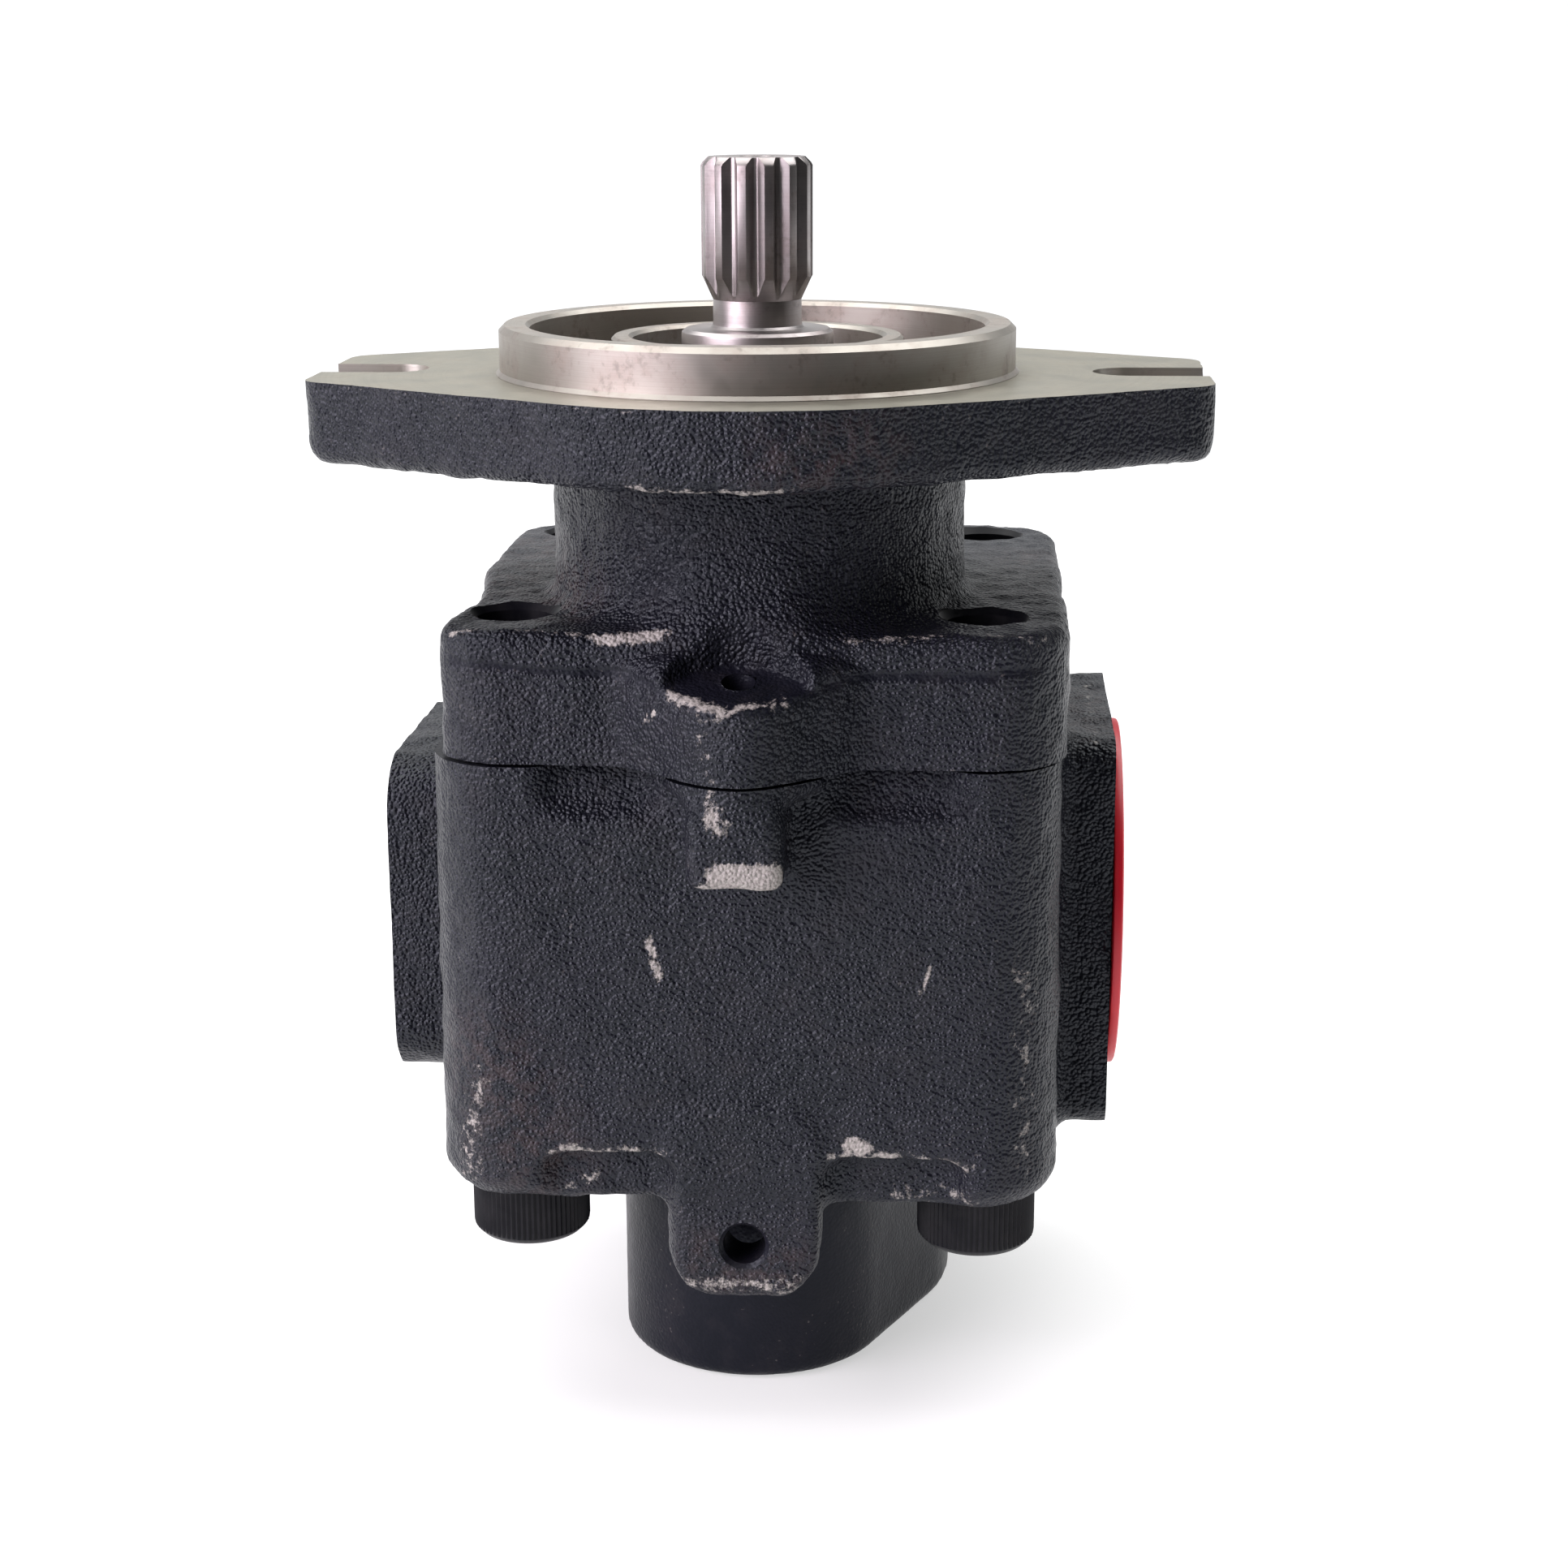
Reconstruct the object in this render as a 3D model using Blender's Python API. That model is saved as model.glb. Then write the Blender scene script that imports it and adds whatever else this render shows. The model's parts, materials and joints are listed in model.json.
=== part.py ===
"""Hydraulic gear pump: two-bolt flange, splined drive shaft, external gear pair, side ports.

The origin is where the drive shaft's axis meets the flat rear face that the pump stands on, with +Z
along the shaft towards the splined end, +X towards the inlet port and +Y towards the driven gear.
"""

import math

import bmesh
import bpy
from mathutils import Matrix

MM = 0.001
GAP = 0.3 * MM

# Heights above the rear face, most of them set down from the flange face.
FLANGE_FACE_Z = 205.5 * MM
FLANGE_BACK_Z = FLANGE_FACE_Z - 15.1 * MM
COVER_TOP_Z = FLANGE_FACE_Z - 44.0 * MM
JOINT_Z = FLANGE_FACE_Z - 70.0 * MM
COVER_REAR_Z = JOINT_Z + GAP
PORT_Z = FLANGE_FACE_Z - 112.7 * MM
CHAMBER_FLOOR_Z = FLANGE_FACE_Z - 145.0 * MM
BODY_REAR_Z = FLANGE_FACE_Z - 159.2 * MM

# Two-bolt mounting flange, SAE J744 size B.
FLANGE_LEFT_X = -86.0 * MM
FLANGE_RIGHT_X = 88.3 * MM
FLANGE_HALF_DEPTH = 65.0 * MM
FLANGE_TIP_HALF_WIDTH = 26.0 * MM
FLANGE_TIP_RADIUS = 7.0 * MM
PILOT_RADIUS = 50.8 * MM
PILOT_HEIGHT = 9.5 * MM
PILOT_CHAMFER = 1.2 * MM
PILOT_BORE_RADIUS = 44.76 * MM
PILOT_RECESS_Z = FLANGE_FACE_Z - 9.0 * MM
BOLT_CENTRE_X = 73.025 * MM
BOLT_SLOT_RADIUS = 7.15 * MM
SEAL_BOSS_RADIUS = 28.8 * MM
SEAL_BORE_RADIUS = 24.75 * MM
SEAL_BOSS_TOP_Z = FLANGE_FACE_Z + 7.0 * MM
SEAL_SEAT_Z = FLANGE_FACE_Z - 8.0 * MM
NECK_RADIUS = 40.75 * MM
NECK_FILLET = 7.0 * MM

# Front cover and gear housing outline.
BODY_LEFT_X = -60.3 * MM
BODY_RIGHT_X = 61.0 * MM
BODY_FRONT_Y = -46.0 * MM
BODY_BACK_Y = 80.5 * MM
BODY_CORNER = 16.0 * MM
BODY_DRAFT = 0.8 * MM
COVER_EDGE = 2.5 * MM
COVER_WAIST = (-107.0 * MM, -11.0 * MM, 50.0 * MM)
REAR_EDGE = 6.0 * MM
LUG_FRONT_Y = -61.0 * MM
LUG_ROOT_X = 30.0 * MM
LUG_ROOT_Y = -37.0 * MM
LUG_NOSE_X = 8.0 * MM
LUG_CORNER = 6.0 * MM
LUG_SPOT_FACE_Y = -58.0 * MM
LUG_SPOT_FACE_RADIUS = 17.5 * MM
LUG_FACE_Z = FLANGE_FACE_Z - 52.3 * MM
LUG_HOLE_Y = -47.0 * MM
LUG_HOLE_RADIUS = 3.8 * MM
RIB_LOW_Z = JOINT_Z - 19.0 * MM
RIB_CENTRE_X = 1.5 * MM
RIB_HALF_WIDTH = 8.5 * MM
RIB_CORNER = 4.0 * MM
RIB_FLARE_HEIGHT = 9.0 * MM
POCKET_SPANS_X = ((-40.0 * MM, -13.0 * MM), (15.0 * MM, 44.0 * MM))
UPPER_POCKET_HEIGHT = 9.0 * MM
UPPER_POCKET_DEPTH = 1.5 * MM
LOWER_POCKET_HEIGHT = 11.0 * MM
LOWER_POCKET_DEPTH = 4.5 * MM
REAR_BOSS_DRIVE = (-1.0 * MM, 0.0, 28.5 * MM)
REAR_BOSS_DRIVEN = (4.0 * MM, 28.0 * MM, 36.0 * MM)
REAR_BOSS_EDGE = 2.0 * MM
TAB_HALF_WIDTH = 15.5 * MM
TAB_LOW_Z = FLANGE_FACE_Z - 178.0 * MM
TAB_THICKNESS = 11.0 * MM
TAB_CORNER = 10.0 * MM
TAB_HOLE_Z = FLANGE_FACE_Z - 166.8 * MM
TAB_HOLE_RADIUS = 4.2 * MM

# Gear pair: ten teeth each on 41.275 mm centres.
CENTRE_DISTANCE = 41.275 * MM
TEETH = 10
PRESSURE_ANGLE = math.radians(28.0)
PITCH_RADIUS = CENTRE_DISTANCE / 2
BASE_RADIUS = PITCH_RADIUS * math.cos(PRESSURE_ANGLE)
TIP_RADIUS = PITCH_RADIUS * (1 + 2 / TEETH)
ROOT_RADIUS = 16.1 * MM
BACKLASH = 0.4 * MM
CHAMBER_RADIUS = TIP_RADIUS + 0.35 * MM
PLATE_THICKNESS = 5.4 * MM
PLATE_SEAL_DEPTH = 2.0 * MM
REAR_PLATE_Z = CHAMBER_FLOOR_Z + GAP
GEAR_REAR_Z = REAR_PLATE_Z + PLATE_THICKNESS + GAP
FRONT_PLATE_Z = JOINT_Z - PLATE_THICKNESS
GEAR_FRONT_Z = FRONT_PLATE_Z - GAP
DRIVEN_Y = CENTRE_DISTANCE

# Seals of the gear chamber.
FACE_SEAL_TRACK_RADIUS = 30.0 * MM
FACE_SEAL_HALF_WIDTH = 1.4 * MM
FACE_SEAL_DEPTH = 3.0 * MM
PLATE_SEAL_TRACK_RADIUS = 21.9 * MM
PLATE_SEAL_HALF_WIDTH = 0.9 * MM

# Shafts, bearings and shaft seal.
JOURNAL_RADIUS = 15.0 * MM
RUNNING_RADIUS = JOURNAL_RADIUS + 1.2 * GAP
BEARING_RADIUS = 18.5 * MM
BEARING_BORE_RADIUS = BEARING_RADIUS + GAP
REAR_BORE_Z = CHAMBER_FLOOR_Z - 27.0 * MM
SHAFT_REAR_Z = REAR_BORE_Z + 1.0 * MM
FRONT_BEARING_TOP_Z = JOINT_Z + 19.6 * MM
FRONT_BORE_TOP_Z = FRONT_BEARING_TOP_Z + 1.0 * MM
SHAFT_PASSAGE_RADIUS = 16.5 * MM
COLLAR_TOP_Z = FLANGE_FACE_Z + 8.3 * MM
SHAFT_NECK_RADIUS = 8.7 * MM
SPLINE_TEETH = 13
SPLINE_TURN = math.radians(93.0)
SPLINE_RADIUS = 10.9 * MM
SPLINE_ROOT_RADIUS = 9.2 * MM
SPLINE_LOW_Z = FLANGE_FACE_Z + 14.0 * MM
SHAFT_END_Z = FLANGE_FACE_Z + 41.2 * MM
SPLINE_RUN_OUT = 4.2 * MM
SPLINE_CHAMFER = 1.2 * MM
SEAL_CASE_THICKNESS = 1.6 * MM
SEAL_CASE_BORE_RADIUS = 19.0 * MM
SEAL_CASE_TOP_Z = SEAL_SEAT_Z + 8.0 * MM
SPRING_GROOVE_RADIUS = 16.6 * MM
SPRING_WIRE_RADIUS = 0.75 * MM
CIRCLIP_GROOVE_Z = FLANGE_FACE_Z + 0.3 * MM
CIRCLIP_GROOVE_WIDTH = 2.2 * MM
CIRCLIP_GROOVE_DEPTH = 1.5 * MM
CIRCLIP_THICKNESS = 1.6 * MM
CIRCLIP_BORE_RADIUS = 21.6 * MM
CIRCLIP_OPENING_HALF_WIDTH = 4.0 * MM

# Dowel pins across the joint: (side name, x, y).
DOWEL_RADIUS = 4.0 * MM
DOWEL_HALF_LENGTH = 8.0 * MM
DOWEL_PLACES = (("left", -43.0 * MM, 2.0 * MM), ("right", 43.0 * MM, 39.0 * MM))

# Socket-head cap screws, 5/8 in by 4 in, up from the rear into the front cover.
SCREW_X = 45.6 * MM
SCREW_CENTRE_Y = CENTRE_DISTANCE / 2
SCREW_HALF_SPAN_Y = 46.1 * MM
SCREW_RADIUS = 7.94 * MM
THREAD_RADIUS = 7.19 * MM
TAPPED_HOLE_RADIUS = THREAD_RADIUS + GAP
SCREW_HEAD_RADIUS = 11.9 * MM
SCREW_HEAD_HEIGHT = 15.9 * MM
SCREW_SEAT_DEPTH = 2.6 * MM
SCREW_SEAT_RADIUS = 12.3 * MM
SCREW_LENGTH = 101.6 * MM
HEX_RADIUS = 7.33 * MM
HEX_DEPTH = 8.0 * MM

# Side ports: four-bolt flange pads, inlet on +X and outlet on -X.
INLET_FACE_X = 72.0 * MM
OUTLET_FACE_X = -75.5 * MM
PORT_Y = CENTRE_DISTANCE / 2
INLET_RADIUS = 15.9 * MM
OUTLET_RADIUS = 12.7 * MM
INLET_PAD = (35.0 * MM, 40.7 * MM, 5.0 * MM)
OUTLET_PAD = (33.0 * MM, 34.0 * MM, 11.0 * MM)
INLET_BOLTS = (58.7 * MM, 30.2 * MM, 4.8 * MM)
OUTLET_BOLTS = (52.4 * MM, 26.2 * MM, 4.1 * MM)
PAD_EDGE = 1.2 * MM
PAD_ROOT_DEPTH = 30.0 * MM
PORT_BORE_END_X = 14.0 * MM
PORT_TAPPED_DEPTH = 20.0 * MM
PLUG_FLANGE_RADIUS = 36.8 * MM
PLUG_FLANGE_THICKNESS = 2.0 * MM
PLUG_STEM_LENGTH = 16.0 * MM
PLUG_WALL = 1.8 * MM

# Segments of round shapes.
FINE = 48
MEDIUM = 32
COARSE = 20
SMALL = 12

# Colour, roughness and metallic value of each finish.

SPHEROIDAL_CASTING = ((0.030, 0.033, 0.042), 0.55, 0.30)
BRIGHT_STEEL = ((0.42, 0.40, 0.39), 0.35, 1.00)
BLACK_STEEL = ((0.025, 0.025, 0.028), 0.45, 0.60)
BEARING_BRONZE = ((0.55, 0.38, 0.18), 0.40, 0.90)
SEAL_RUBBER = ((0.03, 0.03, 0.03), 0.70, 0.00)
RED_PLASTIC = ((0.75, 0.03, 0.04), 0.40, 0.00)


def clear_scene():
    for existing in list(bpy.data.objects):
        bpy.data.objects.remove(existing, do_unlink=True)


def finish(name, finish_values):
    """A material with this colour, roughness and metallic value."""
    colour, roughness, metallic = finish_values
    material = bpy.data.materials.new(name)
    material.use_nodes = True
    shader = material.node_tree.nodes["Principled BSDF"]
    shader.inputs["Base Color"].default_value = (*colour, 1.0)
    shader.inputs["Roughness"].default_value = roughness
    shader.inputs["Metallic"].default_value = metallic
    material.diffuse_color = (*colour, 1.0)
    return material


def is_warped(face):
    """True for a quad whose corners aren't in one plane."""
    if len(face.verts) != 4:
        return False
    a, b, c, d = [vert.co for vert in face.verts]
    across = (b - a).cross(c - a)
    return abs(across.normalized().dot(d - a)) > 1e-3 * MM


def object_from(name, mesh_builder, location=(0, 0, 0)):
    """Links a new object whose mesh is what mesh_builder puts in a bmesh."""
    bm = bmesh.new()
    mesh_builder(bm)
    bmesh.ops.remove_doubles(bm, verts=bm.verts, dist=1e-6)
    bmesh.ops.recalc_face_normals(bm, faces=bm.faces)
    bmesh.ops.triangulate(bm, faces=[face for face in bm.faces if is_warped(face)])
    mesh = bpy.data.meshes.new(name)
    bm.to_mesh(mesh)
    bm.free()
    mesh.shade_smooth()
    mesh.set_sharp_from_angle(angle=math.radians(30))
    made = bpy.data.objects.new(name, mesh)
    made.location = location
    bpy.context.scene.collection.objects.link(made)
    return made


def turned(name, profile, segments, location=(0, 0, 0)):
    """A body of revolution about Z, from a closed profile of (radius, height) points."""

    def build(bm):
        points = [bm.verts.new((radius, 0, height)) for radius, height in profile]
        edges = [
            bm.edges.new((a, b))
            for a, b in zip(points, points[1:] + points[:1])
            if a.co.x > 0 or b.co.x > 0
        ]
        bmesh.ops.spin(
            bm,
            geom=points + edges,
            cent=(0, 0, 0),
            axis=(0, 0, 1),
            angle=math.tau,
            steps=segments,
            use_merge=True,
        )

    return object_from(name, build, location)


def stacked(name, rings, location=(0, 0, 0)):
    """A closed solid through (outline, height) rings that all have the same number of points."""

    def build(bm):
        loops = [
            [bm.verts.new((x, y, height)) for x, y in outline]
            for outline, height in rings
        ]
        for low, high in zip(loops, loops[1:]):
            for i in range(len(low)):
                j = (i + 1) % len(low)
                bm.faces.new((low[i], low[j], high[j], high[i]))
        bm.faces.new(loops[0][::-1])
        bm.faces.new(loops[-1])

    return object_from(name, build, location)


def cylinder(name, radius, low, high, segments, location=(0, 0)):
    """A plain cylinder along Z between two heights."""
    outline = circle_outline(radius, segments)
    return stacked(name, [(outline, low), (outline, high)], (*location, 0))


def box(name, low, high):
    """A box between two corners."""
    outline = [
        (low[0], low[1]),
        (high[0], low[1]),
        (high[0], high[1]),
        (low[0], high[1]),
    ]
    return stacked(name, [(outline, low[2]), (outline, high[2])])


def circle_outline(radius, segments):
    return [
        (radius * math.cos(math.tau * i / segments), radius * math.sin(math.tau * i / segments))
        for i in range(segments)
    ]


def hull_outline(circles, steps, inset=0.0):
    """The outline round circles (x, y, radius), given anticlockwise, each radius less the inset.
    Each circle adds an arc of the same number of steps, so that outlines can be stacked."""
    normals = []
    for (ax, ay, a_radius), (bx, by, b_radius) in zip(circles, circles[1:] + circles[:1]):
        distance = math.hypot(bx - ax, by - ay)
        towards = math.atan2(by - ay, bx - ax)
        normals.append(towards - math.acos((a_radius - b_radius) / distance))
    outline = []
    for i, (x, y, radius) in enumerate(circles):
        start = normals[i - 1]
        sweep = (normals[i] - start) % math.tau
        for step in range(steps + 1):
            angle = start + sweep * step / steps
            outline.append(
                (x + (radius - inset) * math.cos(angle), y + (radius - inset) * math.sin(angle))
            )
    return outline


def rounded_rectangle(low_x, high_x, low_y, high_y, corner):
    """Corner circles of a rectangle."""
    return [
        (low_x + corner, low_y + corner, corner),
        (high_x - corner, low_y + corner, corner),
        (high_x - corner, high_y - corner, corner),
        (low_x + corner, high_y - corner, corner),
    ]


def rounded_block(name, circles, low, high, low_edge=0.0, high_edge=0.0, steps=4, draft=0.0):
    """A block with the outline round circles, whose lower and upper edges are rounded.
    Its lower end is wider than its upper end by the draft."""
    edge_steps = 3
    rings = []
    for step in range(edge_steps + 1 if low_edge else 1):
        angle = math.pi / 2 * step / edge_steps if low_edge else math.pi / 2
        inset = low_edge * (1 - math.sin(angle)) - draft
        rings.append((hull_outline(circles, steps, inset), low + low_edge * (1 - math.cos(angle))))
    for step in range(edge_steps + 1 if high_edge else 1):
        angle = math.pi / 2 * step / edge_steps if high_edge else math.pi / 2
        inset = high_edge * (1 - math.cos(angle)) if high_edge else 0.0
        rings.append((hull_outline(circles, steps, inset), high - high_edge * (1 - math.sin(angle))))
    return stacked(name, rings)


def along_x(obj, face_x, centre_y, centre_z):
    """Turns a solid that is modelled along +Z so that it runs out along X to face_x."""
    outward = math.copysign(1.0, face_x)
    turn = Matrix(((0, 0, outward), (outward, 0, 0), (0, 1, 0))).to_4x4()
    obj.matrix_world = Matrix.Translation((face_x, centre_y, centre_z)) @ turn


def along_y(obj, centre_x, centre_z):
    """Turns a solid that is modelled along +Z so that it runs along +Y, its own Y upwards."""
    turn = Matrix(((-1, 0, 0), (0, 0, 1), (0, 1, 0))).to_4x4()
    obj.matrix_world = Matrix.Translation((centre_x, 0, centre_z)) @ turn


def boolean(obj, other, operation):
    modifier = obj.modifiers.new(f"{operation.lower()}_{other.name}", "BOOLEAN")
    modifier.operation = operation
    modifier.solver = "EXACT"
    modifier.object = other
    other.hide_render = True
    other.display_type = "WIRE"


def join(obj, *others):
    for other in others:
        boolean(obj, other, "UNION")


def cut(obj, *cutters):
    for cutter in cutters:
        boolean(obj, cutter, "DIFFERENCE")


def body_outline():
    """Corner circles of the outline that the cover and the housing share at their joint."""
    return rounded_rectangle(BODY_LEFT_X, BODY_RIGHT_X, BODY_FRONT_Y, BODY_BACK_Y, BODY_CORNER)


def screw_places():
    """(side name, x, y) of the four cap screws."""
    return [
        (
            f"{row}_{side}",
            x_sign * SCREW_X,
            SCREW_CENTRE_Y + y_sign * SCREW_HALF_SPAN_Y,
        )
        for row, y_sign in (("front", -1), ("back", 1))
        for side, x_sign in (("left", -1), ("right", 1))
    ]


def joint_face_holes(owner, screw_hole_radius, low, high):
    """Cutters for the four screws and the two dowels, through owner between two heights."""
    cutters = [
        cylinder(f"{owner}_screw_hole_{place}", screw_hole_radius, low, high, COARSE, (x, y))
        for place, x, y in screw_places()
    ]
    for place, x, y in DOWEL_PLACES:
        cutters.append(
            cylinder(
                f"{owner}_dowel_hole_{place}",
                DOWEL_RADIUS + GAP,
                JOINT_Z - DOWEL_HALF_LENGTH - 2 * GAP,
                JOINT_Z + DOWEL_HALF_LENGTH + 2 * GAP,
                COARSE,
                (x, y),
            )
        )
    return cutters


def flange_block():
    left = FLANGE_LEFT_X + FLANGE_TIP_RADIUS
    right = FLANGE_RIGHT_X - FLANGE_TIP_RADIUS
    tip_y = FLANGE_TIP_HALF_WIDTH - FLANGE_TIP_RADIUS
    centre_radius = 60.0 * MM
    offset = FLANGE_HALF_DEPTH - centre_radius
    circles = [
        (left, -tip_y, FLANGE_TIP_RADIUS),
        (0, -offset, centre_radius),
        (right, -tip_y, FLANGE_TIP_RADIUS),
        (right, tip_y, FLANGE_TIP_RADIUS),
        (0, offset, centre_radius),
        (left, tip_y, FLANGE_TIP_RADIUS),
    ]
    return rounded_block(
        "front_cover", circles, FLANGE_BACK_Z, FLANGE_FACE_Z, low_edge=3.0 * MM, steps=7
    )


def pilot_and_neck():
    """The turned core of the front cover: neck with its fillets, and the pilot above the flange."""
    steps = 4
    overlap = 1.0 * MM
    profile = [(0, COVER_TOP_Z - 8 * MM), (NECK_RADIUS + NECK_FILLET, COVER_TOP_Z - 8 * MM)]
    for step in range(steps + 1):
        angle = math.pi / 2 * step / steps
        profile.append(
            (
                NECK_RADIUS + NECK_FILLET * (1 - math.sin(angle)),
                COVER_TOP_Z - 0.5 * MM + NECK_FILLET * (1 - math.cos(angle)),
            )
        )
    profile += [
        (NECK_RADIUS, FLANGE_BACK_Z + overlap),
        (PILOT_RADIUS, FLANGE_BACK_Z + 5 * overlap),
        (PILOT_RADIUS, FLANGE_FACE_Z + PILOT_HEIGHT - PILOT_CHAMFER),
        (PILOT_RADIUS - PILOT_CHAMFER, FLANGE_FACE_Z + PILOT_HEIGHT),
        (0, FLANGE_FACE_Z + PILOT_HEIGHT),
    ]
    return turned("cover_pilot_and_neck", profile, FINE)


def lug_outline():
    """Circles of the tapered lug in the middle of the front, which cover and housing share."""
    nose_y = LUG_FRONT_Y + LUG_CORNER
    return [
        (-LUG_ROOT_X, LUG_ROOT_Y, LUG_CORNER),
        (-LUG_NOSE_X, nose_y, LUG_CORNER),
        (LUG_NOSE_X, nose_y, LUG_CORNER),
        (LUG_ROOT_X, LUG_ROOT_Y, LUG_CORNER),
    ]


def cover_apron():
    """The sloping web from the neck down to the front lug."""
    corner = 8.0 * MM
    low = hull_outline(
        [
            (-22 * MM, -36 * MM, corner),
            (-9 * MM, -50 * MM, corner),
            (9 * MM, -50 * MM, corner),
            (22 * MM, -36 * MM, corner),
        ],
        4,
    )
    high = hull_outline(
        [
            (-14 * MM, -28 * MM, corner),
            (-6 * MM, -33 * MM, corner),
            (6 * MM, -33 * MM, corner),
            (14 * MM, -28 * MM, corner),
        ],
        4,
    )
    return stacked(
        "cover_apron", [(low, LUG_FACE_Z - 2 * MM), (high, COVER_TOP_Z + 8 * MM)]
    )


def cover_bore_cutter():
    """Everything turned out of the cover on the drive shaft's axis."""
    groove_top_z = CIRCLIP_GROOVE_Z + CIRCLIP_GROOVE_WIDTH
    groove_radius = SEAL_BORE_RADIUS + CIRCLIP_GROOVE_DEPTH
    above = FLANGE_FACE_Z + PILOT_HEIGHT + 2 * MM
    profile = [
        (0, COVER_REAR_Z - 4 * MM),
        (BEARING_BORE_RADIUS, COVER_REAR_Z - 4 * MM),
        (BEARING_BORE_RADIUS, FRONT_BORE_TOP_Z),
        (SHAFT_PASSAGE_RADIUS, FRONT_BORE_TOP_Z),
        (SHAFT_PASSAGE_RADIUS, SEAL_SEAT_Z),
        (SEAL_BORE_RADIUS, SEAL_SEAT_Z),
        (SEAL_BORE_RADIUS, CIRCLIP_GROOVE_Z),
        (groove_radius, CIRCLIP_GROOVE_Z),
        (groove_radius, groove_top_z),
        (SEAL_BORE_RADIUS, groove_top_z),
        (SEAL_BORE_RADIUS, SEAL_BOSS_TOP_Z),
        (SEAL_BOSS_RADIUS, SEAL_BOSS_TOP_Z),
        (SEAL_BOSS_RADIUS, PILOT_RECESS_Z),
        (PILOT_BORE_RADIUS, PILOT_RECESS_Z),
        (PILOT_BORE_RADIUS, above),
        (0, above),
    ]
    return turned("cover_bore_cutter", profile, FINE)


def bolt_slot_cutter(side):
    """An open-ended bolt slot in one tip of the flange; side is -1 or 1."""
    circles = [
        (0, 0, BOLT_SLOT_RADIUS),
        (30 * MM, 0, BOLT_SLOT_RADIUS),
    ]
    cutter = rounded_block(
        f"bolt_slot_{'left' if side < 0 else 'right'}",
        circles,
        FLANGE_BACK_Z - 5 * MM,
        FLANGE_FACE_Z + 5 * MM,
        steps=10,
    )
    cutter.location.x = side * BOLT_CENTRE_X
    cutter.rotation_euler.z = 0 if side > 0 else math.pi
    return cutter


def make_front_cover(material):
    cover = flange_block()
    block = rounded_block(
        "cover_block", body_outline(), COVER_REAR_Z, COVER_TOP_Z, high_edge=COVER_EDGE, steps=5
    )
    lug = rounded_block(
        "cover_lug", lug_outline(), COVER_REAR_Z, LUG_FACE_Z + 4 * MM, high_edge=COVER_EDGE
    )
    join(cover, pilot_and_neck(), block, lug, cover_apron())
    spot_face = cylinder(
        "lug_spot_face",
        LUG_SPOT_FACE_RADIUS,
        LUG_FACE_Z,
        COVER_TOP_Z + 15 * MM,
        MEDIUM,
        (0, LUG_SPOT_FACE_Y),
    )
    lug_hole = cylinder(
        "lug_hole", LUG_HOLE_RADIUS, LUG_FACE_Z - 12 * MM, LUG_FACE_Z + 8 * MM, COARSE, (0, LUG_HOLE_Y)
    )
    driven_bore = cylinder(
        "cover_driven_bore",
        BEARING_BORE_RADIUS,
        COVER_REAR_Z - 4 * MM,
        FRONT_BORE_TOP_Z,
        MEDIUM,
        (0, DRIVEN_Y),
    )
    waist_x, waist_y, waist_radius = COVER_WAIST
    waist = cylinder(
        "cover_waist",
        waist_radius,
        COVER_REAR_Z - 3 * MM,
        COVER_TOP_Z + 3 * MM,
        FINE,
        (waist_x, waist_y),
    )
    cut(cover, cover_bore_cutter(), spot_face, lug_hole, driven_bore, waist)
    cut(cover, bolt_slot_cutter(-1), bolt_slot_cutter(1))
    cut(
        cover,
        *joint_face_holes(
            "cover", TAPPED_HOLE_RADIUS, COVER_REAR_Z - 4 * MM, COVER_TOP_Z + 4 * MM
        ),
    )
    cover.data.materials.append(material)


def port_pad(name, face_x, half_width, half_height, corner):
    """A raised pad on one side of the housing, out to face_x."""
    circles = rounded_rectangle(-half_width, half_width, -half_height, half_height, corner)
    pad = rounded_block(name, circles, -PAD_ROOT_DEPTH, 0, high_edge=PAD_EDGE, steps=4)
    along_x(pad, face_x, PORT_Y, PORT_Z)
    return pad


def port_cutters(name, face_x, bore_radius, spacing_z, spacing_y, tapped_radius):
    """The bore from a pad to the gear chamber, and its four tapped holes."""
    bore_depth = abs(face_x) - PORT_BORE_END_X
    bore = cylinder(f"{name}_bore", bore_radius, -bore_depth, 3 * MM, MEDIUM)
    along_x(bore, face_x, PORT_Y, PORT_Z)
    cutters = [bore]
    for row, z_sign in (("low", -1), ("high", 1)):
        for side, y_sign in (("front", -1), ("back", 1)):
            hole = cylinder(
                f"{name}_tapped_{row}_{side}", tapped_radius, -PORT_TAPPED_DEPTH, 3 * MM, SMALL
            )
            y = PORT_Y + y_sign * spacing_y / 2
            along_x(hole, face_x, y, PORT_Z + z_sign * spacing_z / 2)
            cutters.append(hole)
    return cutters


def housing_rib():
    """The rib under the joint, which narrows from the outline of the cover's lug."""
    left = RIB_CENTRE_X - RIB_HALF_WIDTH + RIB_CORNER
    right = RIB_CENTRE_X + RIB_HALF_WIDTH - RIB_CORNER
    nose_y = LUG_FRONT_Y + RIB_CORNER
    narrow = hull_outline(
        [
            (left, LUG_ROOT_Y, RIB_CORNER),
            (left, nose_y, RIB_CORNER),
            (right, nose_y, RIB_CORNER),
            (right, LUG_ROOT_Y, RIB_CORNER),
        ],
        4,
    )
    wide = hull_outline(lug_outline(), 4)
    rings = [
        (narrow, RIB_LOW_Z),
        (narrow, JOINT_Z - RIB_FLARE_HEIGHT),
        (wide, JOINT_Z - 1 * MM),
        (wide, JOINT_Z),
    ]
    return stacked("housing_rib", rings)


def rear_boss():
    """The boss behind the two rear bearings, whose end is the face that the pump stands on."""
    circles = [REAR_BOSS_DRIVE, REAR_BOSS_DRIVEN]
    return rounded_block(
        "rear_boss", circles, 0, BODY_REAR_Z + 3 * MM, low_edge=REAR_BOSS_EDGE, steps=20
    )


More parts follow.
